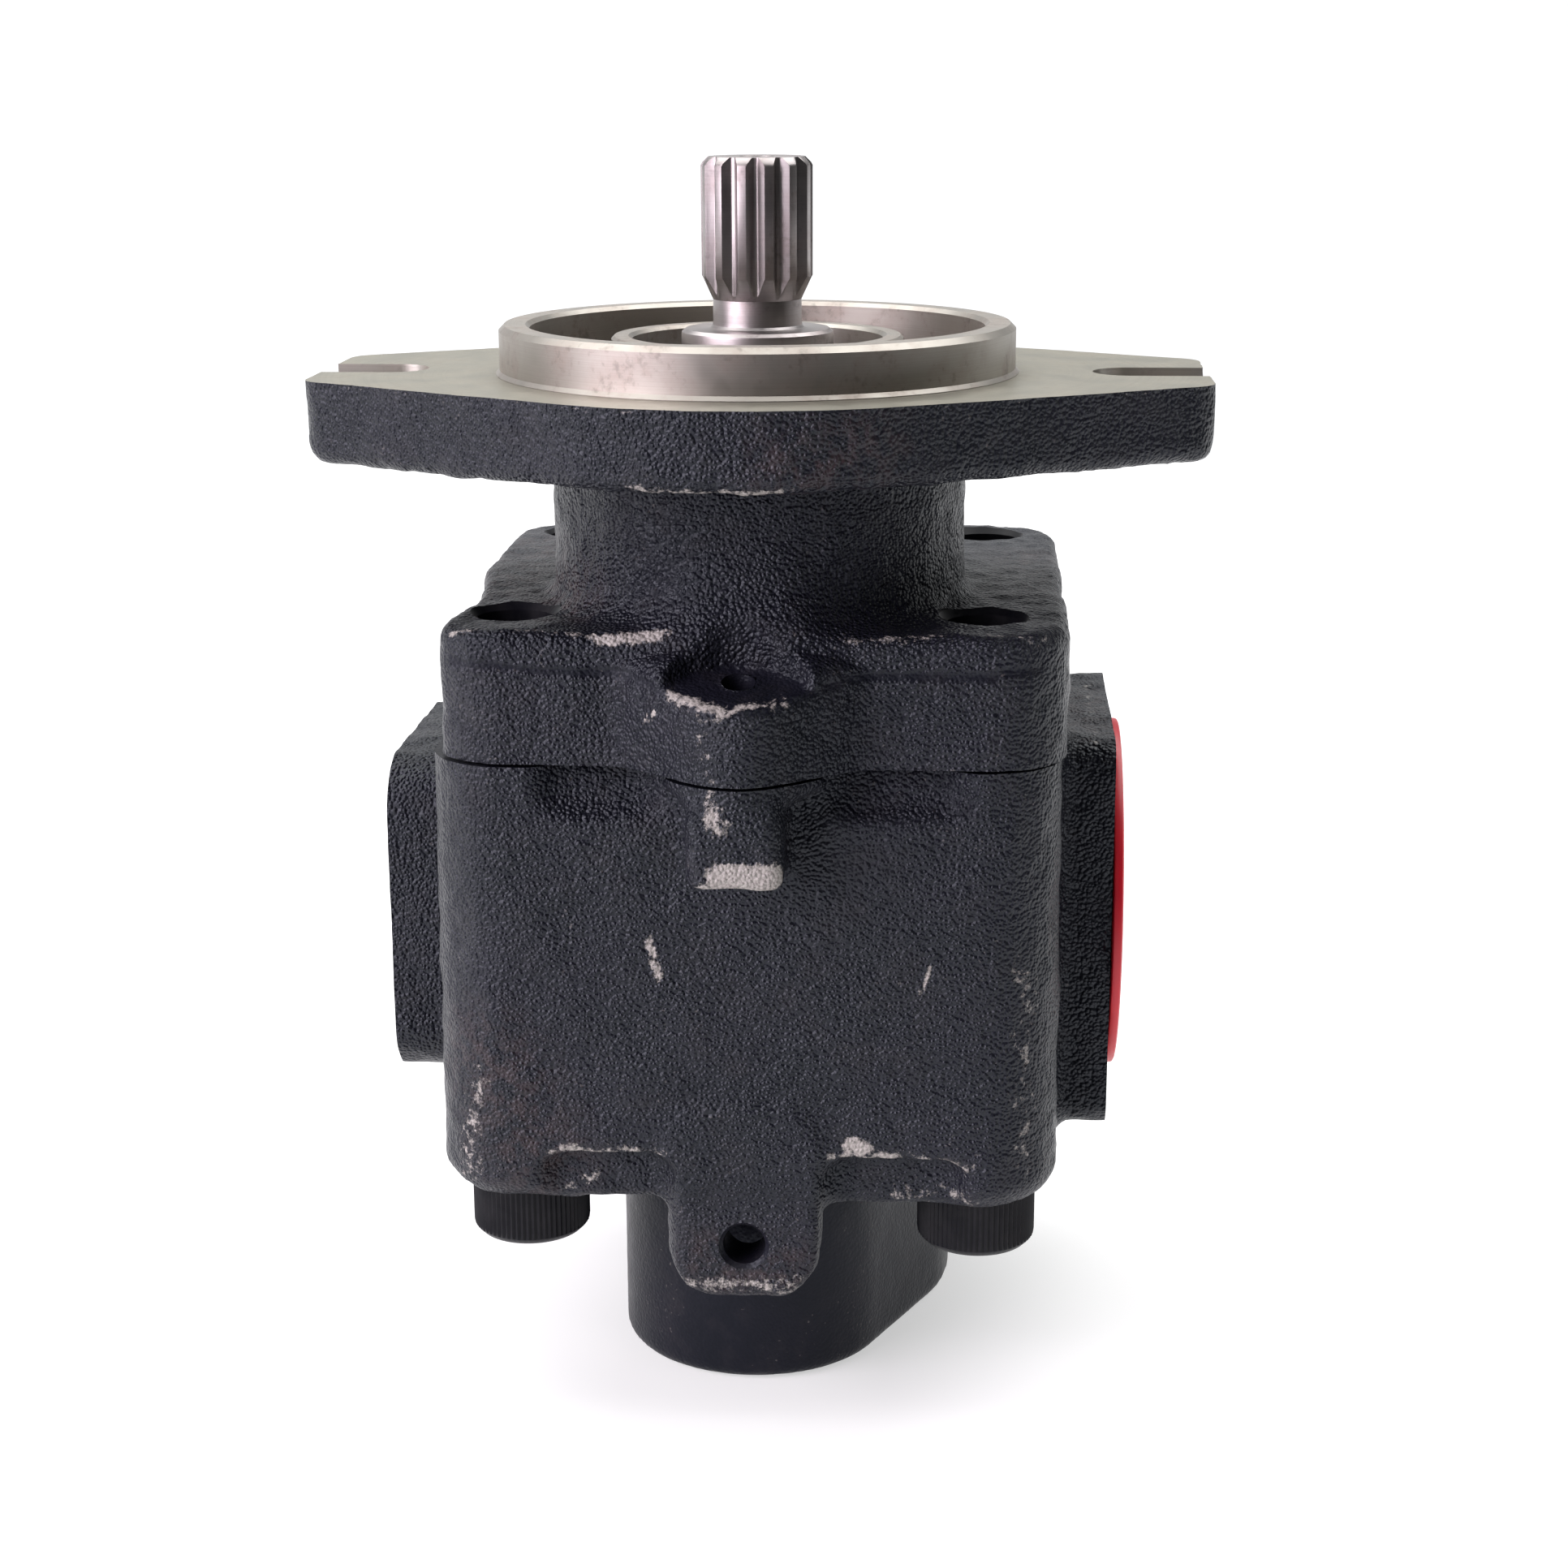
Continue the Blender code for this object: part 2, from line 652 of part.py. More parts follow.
def rear_tab():
    """The drilled tab that hangs from the middle of the housing's front."""
    height = BODY_REAR_Z + 12 * MM - TAB_LOW_Z
    circles = [
        (-TAB_HALF_WIDTH + TAB_CORNER, TAB_CORNER, TAB_CORNER),
        (TAB_HALF_WIDTH - TAB_CORNER, TAB_CORNER, TAB_CORNER),
        (TAB_HALF_WIDTH - TAB_CORNER, height, TAB_CORNER),
        (-TAB_HALF_WIDTH + TAB_CORNER, height, TAB_CORNER),
    ]
    tab = rounded_block(
        "rear_tab",
        circles,
        BODY_FRONT_Y - 0.5 * MM,
        BODY_FRONT_Y + TAB_THICKNESS,
        low_edge=1.5 * MM,
    )
    along_y(tab, 0, TAB_LOW_Z)
    return tab


def front_pockets():
    """Shallow cast pockets: two under the joint and two beside the tab."""
    pockets = []
    for side, (low_x, high_x) in zip(("left", "right"), POCKET_SPANS_X):
        upper = box(
            f"upper_pocket_{side}",
            (low_x, BODY_FRONT_Y - 5 * MM, JOINT_Z - UPPER_POCKET_HEIGHT),
            (high_x, BODY_FRONT_Y + UPPER_POCKET_DEPTH, JOINT_Z + 5 * MM),
        )
        lower = box(
            f"lower_pocket_{side}",
            (low_x, BODY_FRONT_Y - 5 * MM, BODY_REAR_Z - 5 * MM),
            (high_x, BODY_FRONT_Y + LOWER_POCKET_DEPTH, BODY_REAR_Z + LOWER_POCKET_HEIGHT),
        )
        pockets += [upper, lower]
    return pockets


def figure_eight_outline(radius, steps=28):
    """The outline of two overlapping circles of this radius, one round each shaft."""
    crossing = math.asin(CENTRE_DISTANCE / 2 / radius)
    sweep = math.pi + 2 * crossing
    outline = []
    for centre_y, start in ((0, math.pi - crossing), (DRIVEN_Y, -crossing)):
        for step in range(steps):
            angle = start + sweep * step / steps
            outline.append((radius * math.cos(angle), centre_y + radius * math.sin(angle)))
    return outline


def ring_band(name, outer, inner, low, high):
    """A flat closed band between two outlines that have the same number of points."""

    def build(bm):
        loops = [
            [bm.verts.new((x, y, height)) for x, y in outline]
            for outline, height in ((outer, low), (outer, high), (inner, high), (inner, low))
        ]
        for here, after in zip(loops, loops[1:] + loops[:1]):
            for i in range(len(here)):
                j = (i + 1) % len(here)
                bm.faces.new((here[i], here[j], after[j], after[i]))

    return object_from(name, build)


def face_seal_band(name, low, high, clearance):
    """The racetrack band of the seal between cover and housing, round both gear chambers."""
    track = [(0, 0, FACE_SEAL_TRACK_RADIUS), (0, DRIVEN_Y, FACE_SEAL_TRACK_RADIUS)]
    half_width = FACE_SEAL_HALF_WIDTH + clearance
    outer = hull_outline(track, 20, -half_width)
    inner = hull_outline(track, 20, half_width)
    return ring_band(name, outer, inner, low, high)


def make_gear_housing(material):
    housing = rounded_block(
        "gear_housing",
        body_outline(),
        BODY_REAR_Z,
        JOINT_Z,
        low_edge=REAR_EDGE,
        steps=5,
        draft=BODY_DRAFT,
    )
    cut(housing, *front_pockets())
    join(
        housing,
        housing_rib(),
        port_pad("inlet_pad", INLET_FACE_X, *INLET_PAD),
        port_pad("outlet_pad", OUTLET_FACE_X, *OUTLET_PAD),
        rear_boss(),
        rear_tab(),
    )
    for place, y in (("drive", 0), ("driven", DRIVEN_Y)):
        chamber = cylinder(
            f"{place}_chamber", CHAMBER_RADIUS, CHAMBER_FLOOR_Z, JOINT_Z + 5 * MM, FINE, (0, y)
        )
        bearing_bore = cylinder(
            f"{place}_rear_bore",
            BEARING_BORE_RADIUS,
            REAR_BORE_Z,
            CHAMBER_FLOOR_Z + 4 * MM,
            MEDIUM,
            (0, y),
        )
        cut(housing, chamber, bearing_bore)
    cut(housing, face_seal_band("face_seal_groove", JOINT_Z - FACE_SEAL_DEPTH, JOINT_Z + 2 * MM, GAP))
    cut(housing, *port_cutters("inlet", INLET_FACE_X, INLET_RADIUS, *INLET_BOLTS))
    cut(housing, *port_cutters("outlet", OUTLET_FACE_X, OUTLET_RADIUS, *OUTLET_BOLTS))
    tab_hole = cylinder(
        "tab_hole",
        TAB_HOLE_RADIUS,
        BODY_FRONT_Y - 5 * MM,
        BODY_FRONT_Y + TAB_THICKNESS + 3 * MM,
        COARSE,
    )
    along_y(tab_hole, 0, TAB_HOLE_Z)
    cut(housing, tab_hole)
    cut(
        housing,
        *joint_face_holes("housing", SCREW_RADIUS + GAP, BODY_REAR_Z - 4 * MM, JOINT_Z + 4 * MM),
    )
    for place, x, y in screw_places():
        seat = cylinder(
            f"screw_seat_{place}",
            SCREW_SEAT_RADIUS,
            BODY_REAR_Z - 10 * MM,
            BODY_REAR_Z + SCREW_SEAT_DEPTH,
            MEDIUM,
            (x, y),
        )
        cut(housing, seat)
    housing.data.materials.append(material)


def involute_angle(radius):
    """How far an involute from the base circle has turned at this radius."""
    roll = math.acos(BASE_RADIUS / radius)
    return math.tan(roll) - roll


def gear_outline(turn):
    """Ten involute teeth, one of them centred on the angle turn."""
    half_tooth = math.pi / (2 * TEETH) - BACKLASH / (4 * PITCH_RADIUS) + involute_angle(PITCH_RADIUS)
    flank_steps = 4
    outline = []
    for tooth in range(TEETH):
        centre = turn + math.tau * tooth / TEETH
        flank = [(ROOT_RADIUS, half_tooth)]
        for step in range(flank_steps + 1):
            radius = BASE_RADIUS + (TIP_RADIUS - BASE_RADIUS) * step / flank_steps
            flank.append((radius, half_tooth - involute_angle(max(radius, BASE_RADIUS * 1.000001))))
        for radius, angle in flank:
            outline.append((radius, centre - angle))
        for radius, angle in flank[::-1]:
            outline.append((radius, centre + angle))
    return [(radius * math.cos(angle), radius * math.sin(angle)) for radius, angle in outline]


def spline_outline(root_radius, tip_radius):
    """Thirteen short flat-topped teeth."""
    pitch = math.tau / SPLINE_TEETH
    outline = []
    for tooth in range(SPLINE_TEETH):
        centre = SPLINE_TURN + pitch * tooth
        for radius, share in (
            (root_radius, -0.4),
            (tip_radius, -0.17),
            (tip_radius, 0.17),
            (root_radius, 0.4),
        ):
            angle = centre + share * pitch
            outline.append((radius * math.cos(angle), radius * math.sin(angle)))
    return outline


def make_drive_gear_shaft(material):
    chamfer = 1.0 * MM
    fillet = 1.0 * MM
    core_radius = SPLINE_ROOT_RADIUS - 0.3 * MM
    profile = [
        (0, SHAFT_REAR_Z),
        (JOURNAL_RADIUS - chamfer, SHAFT_REAR_Z),
        (JOURNAL_RADIUS, SHAFT_REAR_Z + chamfer),
        (JOURNAL_RADIUS, COLLAR_TOP_Z - chamfer),
        (JOURNAL_RADIUS - chamfer, COLLAR_TOP_Z),
        (SHAFT_NECK_RADIUS + fillet, COLLAR_TOP_Z),
        (SHAFT_NECK_RADIUS, COLLAR_TOP_Z + fillet),
        (SHAFT_NECK_RADIUS, SPLINE_LOW_Z + 4 * MM),
        (core_radius, SPLINE_LOW_Z + 5 * MM),
        (core_radius, SHAFT_END_Z - 2 * MM),
        (0, SHAFT_END_Z - 2 * MM),
    ]
    shaft = turned("drive_gear_shaft", profile, MEDIUM)
    teeth = gear_outline(math.pi / 2)
    gear = stacked("drive_gear_teeth", [(teeth, GEAR_REAR_Z), (teeth, GEAR_FRONT_Z)])
    full = spline_outline(SPLINE_ROOT_RADIUS, SPLINE_RADIUS)
    run_out = spline_outline(SHAFT_NECK_RADIUS - 0.6 * MM, SHAFT_NECK_RADIUS - 0.1 * MM)
    end = spline_outline(SPLINE_ROOT_RADIUS - 0.2 * MM, SPLINE_RADIUS - SPLINE_CHAMFER)
    spline = stacked(
        "drive_spline_teeth",
        [
            (run_out, SPLINE_LOW_Z),
            (full, SPLINE_LOW_Z + SPLINE_RUN_OUT),
            (full, SHAFT_END_Z - SPLINE_CHAMFER),
            (end, SHAFT_END_Z),
        ],
    )
    join(shaft, gear, spline)
    shaft.data.materials.append(material)


def make_driven_gear_shaft(material):
    chamfer = 1.0 * MM
    profile = [
        (0, SHAFT_REAR_Z),
        (JOURNAL_RADIUS - chamfer, SHAFT_REAR_Z),
        (JOURNAL_RADIUS, SHAFT_REAR_Z + chamfer),
        (JOURNAL_RADIUS, FRONT_BEARING_TOP_Z - chamfer),
        (JOURNAL_RADIUS - chamfer, FRONT_BEARING_TOP_Z),
        (0, FRONT_BEARING_TOP_Z),
    ]
    shaft = turned("driven_gear_shaft", profile, MEDIUM, (0, DRIVEN_Y, 0))
    teeth = gear_outline(-math.pi / 2 + math.pi / TEETH)
    gear = stacked(
        "driven_gear_teeth", [(teeth, GEAR_REAR_Z), (teeth, GEAR_FRONT_Z)], (0, DRIVEN_Y, 0)
    )
    join(shaft, gear)
    shaft.data.materials.append(material)


def make_thrust_plate(place, low, seal_on_top, material):
    """A figure-eight plate at one end of the gears, with the groove for its seal."""
    outline = figure_eight_outline(CHAMBER_RADIUS - GAP)
    high = low + PLATE_THICKNESS
    plate = stacked(f"thrust_plate_{place}", [(outline, low), (outline, high)])
    for owner, y in (("drive", 0), ("driven", DRIVEN_Y)):
        hole = cylinder(
            f"thrust_plate_{place}_{owner}_hole",
            RUNNING_RADIUS,
            low - 2 * MM,
            high + 2 * MM,
            MEDIUM,
            (0, y),
        )
        cut(plate, hole)
    if seal_on_top:
        span = (high - PLATE_SEAL_DEPTH, high + 2 * MM)
    else:
        span = (low - 2 * MM, low + PLATE_SEAL_DEPTH)
    cut(plate, plate_seal_band(f"thrust_plate_{place}_groove", *span, GAP))
    plate.data.materials.append(material)


def plate_seal_band(name, low, high, clearance):
    """The figure-eight track of a thrust plate's seal."""
    outer = figure_eight_outline(PLATE_SEAL_TRACK_RADIUS + PLATE_SEAL_HALF_WIDTH + clearance)
    inner = figure_eight_outline(PLATE_SEAL_TRACK_RADIUS - PLATE_SEAL_HALF_WIDTH - clearance)
    return ring_band(name, outer, inner, low, high)


def make_plate_seal(place, low, material):
    """The rubber seal in its groove in the thrust plate."""
    high = low + PLATE_SEAL_DEPTH - GAP
    seal = plate_seal_band(f"thrust_plate_seal_{place}", low, high, 0.0)
    seal.data.materials.append(material)


def make_bearing(name, low, high, y, material):
    chamfer = 0.6 * MM
    profile = [
        (RUNNING_RADIUS, low),
        (BEARING_RADIUS - chamfer, low),
        (BEARING_RADIUS, low + chamfer),
        (BEARING_RADIUS, high - chamfer),
        (BEARING_RADIUS - chamfer, high),
        (RUNNING_RADIUS, high),
    ]
    bearing = turned(name, profile, MEDIUM, (0, y, 0))
    bearing.data.materials.append(material)


def make_bearings(material):
    for owner, y in (("drive", 0), ("driven", DRIVEN_Y)):
        make_bearing(
            f"{owner}_rear_bearing", REAR_BORE_Z + GAP, CHAMBER_FLOOR_Z - GAP, y, material
        )
        make_bearing(
            f"{owner}_front_bearing", COVER_REAR_Z + GAP, FRONT_BEARING_TOP_Z, y, material
        )


def make_shaft_seal_case(material):
    """The pressed steel case: an outer wall and an inward floor, an L in section."""
    outer = SEAL_BORE_RADIUS - GAP
    low = SEAL_SEAT_Z + GAP
    chamfer = 0.5 * MM
    profile = [
        (SEAL_CASE_BORE_RADIUS, SEAL_CASE_TOP_Z - SEAL_CASE_THICKNESS),
        (outer - SEAL_CASE_THICKNESS, SEAL_CASE_TOP_Z - SEAL_CASE_THICKNESS),
        (outer - SEAL_CASE_THICKNESS, low),
        (outer, low),
        (outer, SEAL_CASE_TOP_Z - chamfer),
        (outer - chamfer, SEAL_CASE_TOP_Z),
        (SEAL_CASE_BORE_RADIUS, SEAL_CASE_TOP_Z),
    ]
    case = turned("shaft_seal_case", profile, MEDIUM)
    case.data.materials.append(material)


def make_shaft_seal_lip(material):
    """The rubber lip, with the groove that its garter spring sits in."""
    low = SEAL_SEAT_Z + GAP
    lip = RUNNING_RADIUS
    groove = SPRING_GROOVE_RADIUS
    outer = SEAL_CASE_BORE_RADIUS - GAP
    profile = [
        (lip, low + 1.2 * MM),
        (lip + 1.0 * MM, low),
        (groove + 0.8 * MM, low),
        (groove + 0.8 * MM, low + 1.2 * MM),
        (groove, low + 1.2 * MM),
        (groove, low + 3.4 * MM),
        (groove + 1.4 * MM, low + 3.8 * MM),
        (outer, low + 5.0 * MM),
        (outer, SEAL_CASE_TOP_Z),
        (lip + 0.8 * MM, SEAL_CASE_TOP_Z),
        (lip, SEAL_CASE_TOP_Z - 1.0 * MM),
        (lip + 0.6 * MM, SEAL_CASE_TOP_Z - 2.4 * MM),
    ]
    seal_lip = turned("shaft_seal_lip", profile, MEDIUM)
    seal_lip.data.materials.append(material)


def ring_profile(radius, height, wire_radius, steps=8):
    return [
        (
            radius + wire_radius * math.cos(math.tau * i / steps),
            height + wire_radius * math.sin(math.tau * i / steps),
        )
        for i in range(steps)
    ]


def make_garter_spring(material):
    radius = SPRING_GROOVE_RADIUS + GAP + SPRING_WIRE_RADIUS
    height = SEAL_SEAT_Z + GAP + 2.3 * MM
    profile = ring_profile(radius, height, SPRING_WIRE_RADIUS)
    spring = turned("shaft_seal_garter_spring", profile, MEDIUM)
    spring.data.materials.append(material)


def make_retaining_ring(material):
    """The internal circlip above the seal, open at the side away from the driven gear."""
    low = CIRCLIP_GROOVE_Z + GAP
    high = low + CIRCLIP_THICKNESS
    outer = SEAL_BORE_RADIUS + CIRCLIP_GROOVE_DEPTH - GAP
    profile = [
        (CIRCLIP_BORE_RADIUS, low),
        (outer, low),
        (outer, high),
        (CIRCLIP_BORE_RADIUS, high),
    ]
    ring = turned("seal_retaining_ring", profile, MEDIUM)
    opening = box(
        "circlip_opening",
        (-CIRCLIP_OPENING_HALF_WIDTH, -outer - 2 * MM, low - 2 * MM),
        (CIRCLIP_OPENING_HALF_WIDTH, 0, high + 2 * MM),
    )
    cut(ring, opening)
    ring.data.materials.append(material)


def make_face_seal(material):
    """The seal ring between cover and housing, round both gear chambers."""
    seal = face_seal_band("housing_face_seal", JOINT_Z - FACE_SEAL_DEPTH + GAP, JOINT_Z, 0.0)
    seal.data.materials.append(material)


def make_dowel_pins(material):
    chamfer = 0.8 * MM
    for place, x, y in DOWEL_PLACES:
        profile = [
            (0, JOINT_Z - DOWEL_HALF_LENGTH),
            (DOWEL_RADIUS - chamfer, JOINT_Z - DOWEL_HALF_LENGTH),
            (DOWEL_RADIUS, JOINT_Z - DOWEL_HALF_LENGTH + chamfer),
            (DOWEL_RADIUS, JOINT_Z + DOWEL_HALF_LENGTH - chamfer),
            (DOWEL_RADIUS - chamfer, JOINT_Z + DOWEL_HALF_LENGTH),
            (0, JOINT_Z + DOWEL_HALF_LENGTH),
        ]
        pin = turned(f"dowel_pin_{place}", profile, COARSE, (x, y, 0))
        pin.data.materials.append(material)


def make_cap_screws(material):
    """Head down at the rear, plain shank through the housing, threaded end in the front cover."""
    seat = BODY_REAR_Z + SCREW_SEAT_DEPTH - GAP
    head_low = seat - SCREW_HEAD_HEIGHT
    tip = seat + SCREW_LENGTH
    chamfer = 1.0 * MM
    profile = [
        (0, head_low),
        (SCREW_HEAD_RADIUS - chamfer, head_low),
        (SCREW_HEAD_RADIUS, head_low + chamfer),
        (SCREW_HEAD_RADIUS, seat),
        (SCREW_RADIUS, seat),
        (SCREW_RADIUS, JOINT_Z - 3 * MM),
        (THREAD_RADIUS, JOINT_Z - 2 * MM),
        (THREAD_RADIUS, tip - chamfer),
        (THREAD_RADIUS - chamfer, tip),
        (0, tip),
    ]
    for place, x, y in screw_places():
        screw = turned(f"cap_screw_{place}", profile, COARSE, (x, y, 0))
        socket = cylinder(
            f"hex_socket_{place}", HEX_RADIUS, head_low - 2 * MM, head_low + HEX_DEPTH, 6, (x, y)
        )
        cut(screw, socket)
        screw.data.materials.append(material)


def make_inlet_port_plug(material):
    """A push-in plastic plug: a wide thin flange over the pad and a hollow stem in the bore."""
    stem = INLET_RADIUS - GAP
    top = GAP + PLUG_FLANGE_THICKNESS
    profile = [
        (0, -PLUG_STEM_LENGTH),
        (stem - 1.0 * MM, -PLUG_STEM_LENGTH),
        (stem, -PLUG_STEM_LENGTH + 1.0 * MM),
        (stem, GAP),
        (PLUG_FLANGE_RADIUS, GAP),
        (PLUG_FLANGE_RADIUS, top - 0.5 * MM),
        (PLUG_FLANGE_RADIUS - 0.5 * MM, top),
        (stem - PLUG_WALL, top),
        (stem - PLUG_WALL - 0.6 * MM, PLUG_WALL - PLUG_STEM_LENGTH),
        (0, PLUG_WALL - PLUG_STEM_LENGTH),
    ]
    plug = turned("inlet_port_plug", profile, FINE)
    along_x(plug, INLET_FACE_X, PORT_Y, PORT_Z)
    plug.data.materials.append(material)


def main():
    clear_scene()
    casting = finish("cast_iron_black", SPHEROIDAL_CASTING)
    steel = finish("bright_steel", BRIGHT_STEEL)
    black_steel = finish("black_steel", BLACK_STEEL)
    bronze = finish("bearing_bronze", BEARING_BRONZE)
    rubber = finish("seal_rubber", SEAL_RUBBER)
    make_front_cover(casting)
    make_gear_housing(casting)
    make_drive_gear_shaft(steel)
    make_driven_gear_shaft(steel)
    make_thrust_plate("rear", REAR_PLATE_Z, False, bronze)
    make_thrust_plate("front", FRONT_PLATE_Z, True, bronze)
    make_plate_seal("rear", REAR_PLATE_Z, rubber)
    make_plate_seal("front", JOINT_Z - PLATE_SEAL_DEPTH + GAP, rubber)
    make_bearings(bronze)
    make_shaft_seal_case(steel)
    make_shaft_seal_lip(rubber)
    make_garter_spring(steel)
    make_retaining_ring(steel)
    make_face_seal(rubber)
    make_dowel_pins(steel)
    make_cap_screws(black_steel)
    make_inlet_port_plug(finish("red_plastic", RED_PLASTIC))


main()
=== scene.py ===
"""Looks of the hydraulic gear pump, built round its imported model.

The castings are rebuilt as blended, slightly uneven solids with crisp machined cuts, and the shaft,
screws, seal and plug as detailed pieces. Sizes are in millimetres until a mesh is made.
"""

import json
from math import acos, asin, atan2, copysign, cos, hypot, pi, radians, sin, tan, tau

import bmesh
import bpy
import numpy as np
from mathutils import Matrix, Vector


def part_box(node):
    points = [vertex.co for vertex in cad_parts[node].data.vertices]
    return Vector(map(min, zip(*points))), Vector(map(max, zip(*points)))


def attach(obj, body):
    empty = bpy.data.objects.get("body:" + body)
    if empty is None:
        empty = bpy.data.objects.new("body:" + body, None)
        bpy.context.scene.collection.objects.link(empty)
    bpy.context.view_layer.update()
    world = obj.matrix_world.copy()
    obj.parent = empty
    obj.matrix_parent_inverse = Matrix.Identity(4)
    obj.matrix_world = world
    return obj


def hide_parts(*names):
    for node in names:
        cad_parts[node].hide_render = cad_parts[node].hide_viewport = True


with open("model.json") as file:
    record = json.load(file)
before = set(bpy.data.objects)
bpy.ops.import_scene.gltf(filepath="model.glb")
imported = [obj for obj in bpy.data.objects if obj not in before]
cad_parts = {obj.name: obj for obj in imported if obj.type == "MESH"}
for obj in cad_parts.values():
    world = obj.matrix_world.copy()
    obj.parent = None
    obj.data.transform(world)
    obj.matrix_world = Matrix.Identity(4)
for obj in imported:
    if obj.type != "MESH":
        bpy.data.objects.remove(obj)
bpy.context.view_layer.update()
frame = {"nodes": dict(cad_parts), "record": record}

import openvdb
from mathutils import Matrix, Vector

MM = 0.001
NODES = frame["nodes"]


def corner(node, which, axis):
    """One coordinate of a node's box in millimetres: which is 0 for low and 1 for high."""
    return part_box(node)[which][axis] / MM


def mount(name):
    """A mount's position in millimetres."""
    for each in frame["record"]["mounts"]:
        if each["name"] == name:
            return [value / MM for value in each["pos_m"]]
    raise KeyError(name)


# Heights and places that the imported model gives.
FACE = mount("mounting_flange")[2]
JOINT = corner("gear_housing", 1, 2)
SHAFT_END = corner("drive_gear_shaft", 1, 2)
SHAFT_LOW = corner("drive_gear_shaft", 0, 2)
FLANGE_LEFT, FLANGE_RIGHT = corner("front_cover", 0, 0), corner("front_cover", 1, 0)
OUTLET_X, INLET_X = corner("gear_housing", 0, 0), corner("gear_housing", 1, 0)
BODY_BACK = corner("gear_housing", 1, 1)
LUG_FRONT = corner("gear_housing", 0, 1)
FLANGE_FRONT = corner("front_cover", 0, 1)
PLUG_FACE = corner("inlet_port_plug", 1, 0)
PORT_Y = mount("outlet_pad")[1]
PORT_Z = mount("outlet_pad")[2] - 19.0
DRIVEN_Y = 2 * PORT_Y
SCREWS = {
    name: ((corner(name, 0, 0) + corner(name, 1, 0)) / 2, (corner(name, 0, 1) + corner(name, 1, 1)) / 2)
    for name in sorted(NODES)
    if name.startswith("cap_screw_")
}
SCREW_LOW = corner("cap_screw_front_left", 0, 2)
SCREW_TIP = corner("cap_screw_front_left", 1, 2)
SCREW_HEAD_RADIUS = (corner("cap_screw_front_left", 1, 0) - corner("cap_screw_front_left", 0, 0)) / 2
SCREW_HEAD_HEIGHT = 15.9
SCREW_SEAT = SCREW_LOW + SCREW_HEAD_HEIGHT
BODY_REAR = SCREW_SEAT + 0.3 - 2.6

GAP = 0.3
COVER_REAR = JOINT + GAP
FLANGE_BACK = FACE - 15.1
COVER_TOP = FACE - 44.0
LUG_FACE = FACE - 52.3
PILOT_RADIUS, PILOT_BORE, PILOT_TOP = 50.8, 44.76, FACE + 9.5
NECK_RADIUS = 40.75
SLOT_X, SLOT_RADIUS = 73.025, 7.15
CHAMBER_FLOOR = FACE - 145.0
REAR_BORE = CHAMBER_FLOOR - 27.0
BEARING_BORE = 18.8
CHAMBER_RADIUS = 25.115
FRONT_BORE_TOP = JOINT + 20.6
TAB_LOW, TAB_HOLE = FACE - 178.0, FACE - 166.8

# Edges sharper than these angles, in degrees, are shaded as edges.
CASTING_ANGLE, TURNED_ANGLE, KNURL_ANGLE = 38.0, 28.0, 24.0


# ------------------------------------------------------------------ meshes


def object_from(name, vertices, faces, smooth_angle=35.0):
    """A linked object from points in millimetres, its flat and curved faces split at an angle."""
    mesh = bpy.data.meshes.new(name)
    mesh.from_pydata([tuple(v) for v in np.asarray(vertices) * MM], [], [tuple(f) for f in faces])
    mesh.validate()
    made = bpy.data.objects.new(name, mesh)
    bpy.context.scene.collection.objects.link(made)
    tidy_normals(made, smooth_angle)
    return made


def tidy_normals(obj, smooth_angle=35.0):
    bm = bmesh.new()
    bm.from_mesh(obj.data)
    bmesh.ops.recalc_face_normals(bm, faces=bm.faces)
    bm.to_mesh(obj.data)
    bm.free()
    split_normals(obj, smooth_angle)


def split_normals(obj, angle):
    """Smooth shading, with the edges sharper than an angle in degrees left crisp."""
    obj.data.shade_smooth()
    obj.data.set_sharp_from_angle(angle=radians(angle))
    return obj


def turned(name, profile, segments=160, at=(0.0, 0.0), wave=None, smooth_angle=35.0):
    """A body of revolution about Z from a closed profile of (radius, height) points.
    wave(angles, radius, height) may give other radii round the turn."""
    angles = np.arange(segments) * tau / segments
    rings = []
    for radius, height in profile:
        radii = np.full(segments, float(radius)) if wave is None else wave(angles, radius, height)
        rings.append(
            np.stack(
                [
                    at[0] + radii * np.cos(angles),
                    at[1] + radii * np.sin(angles),
                    np.full(segments, float(height)),
                ],
                axis=1,
            )
        )
    vertices = np.concatenate(rings)
    count = len(profile)
    faces = []
    for i in range(count):
        j = (i + 1) % count
        if profile[i][0] == 0 and profile[j][0] == 0:
            continue
        for k in range(segments):
            m = (k + 1) % segments
            faces.append((i * segments + k, i * segments + m, j * segments + m, j * segments + k))
    made = object_from(name, vertices, faces, smooth_angle)
    bm = bmesh.new()
    bm.from_mesh(made.data)
    bmesh.ops.remove_doubles(bm, verts=bm.verts, dist=1e-7)
    bmesh.ops.dissolve_degenerate(bm, edges=bm.edges, dist=1e-7)
    bm.to_mesh(made.data)
    bm.free()
    tidy_normals(made, smooth_angle)
    return made


def prism(name, outline, low, high, at=(0.0, 0.0), smooth_angle=35.0):
    """An outline of (x, y) points stood up between two heights."""
    count = len(outline)
    points = np.asarray(outline) + np.asarray(at)
    vertices = [(x, y, low) for x, y in points] + [(x, y, high) for x, y in points]
    faces = [tuple(range(count))[::-1], tuple(range(count, 2 * count))]
    faces += [(i, (i + 1) % count, count + (i + 1) % count, count + i) for i in range(count)]
    return object_from(name, vertices, faces, smooth_angle)


def circle(radius, segments=64):
    return [
        (radius * cos(tau * i / segments), radius * sin(tau * i / segments))
        for i in range(segments)
    ]


def rod(name, radius, low, high, at=(0.0, 0.0), segments=64):
    return prism(name, circle(radius, segments), low, high, at)


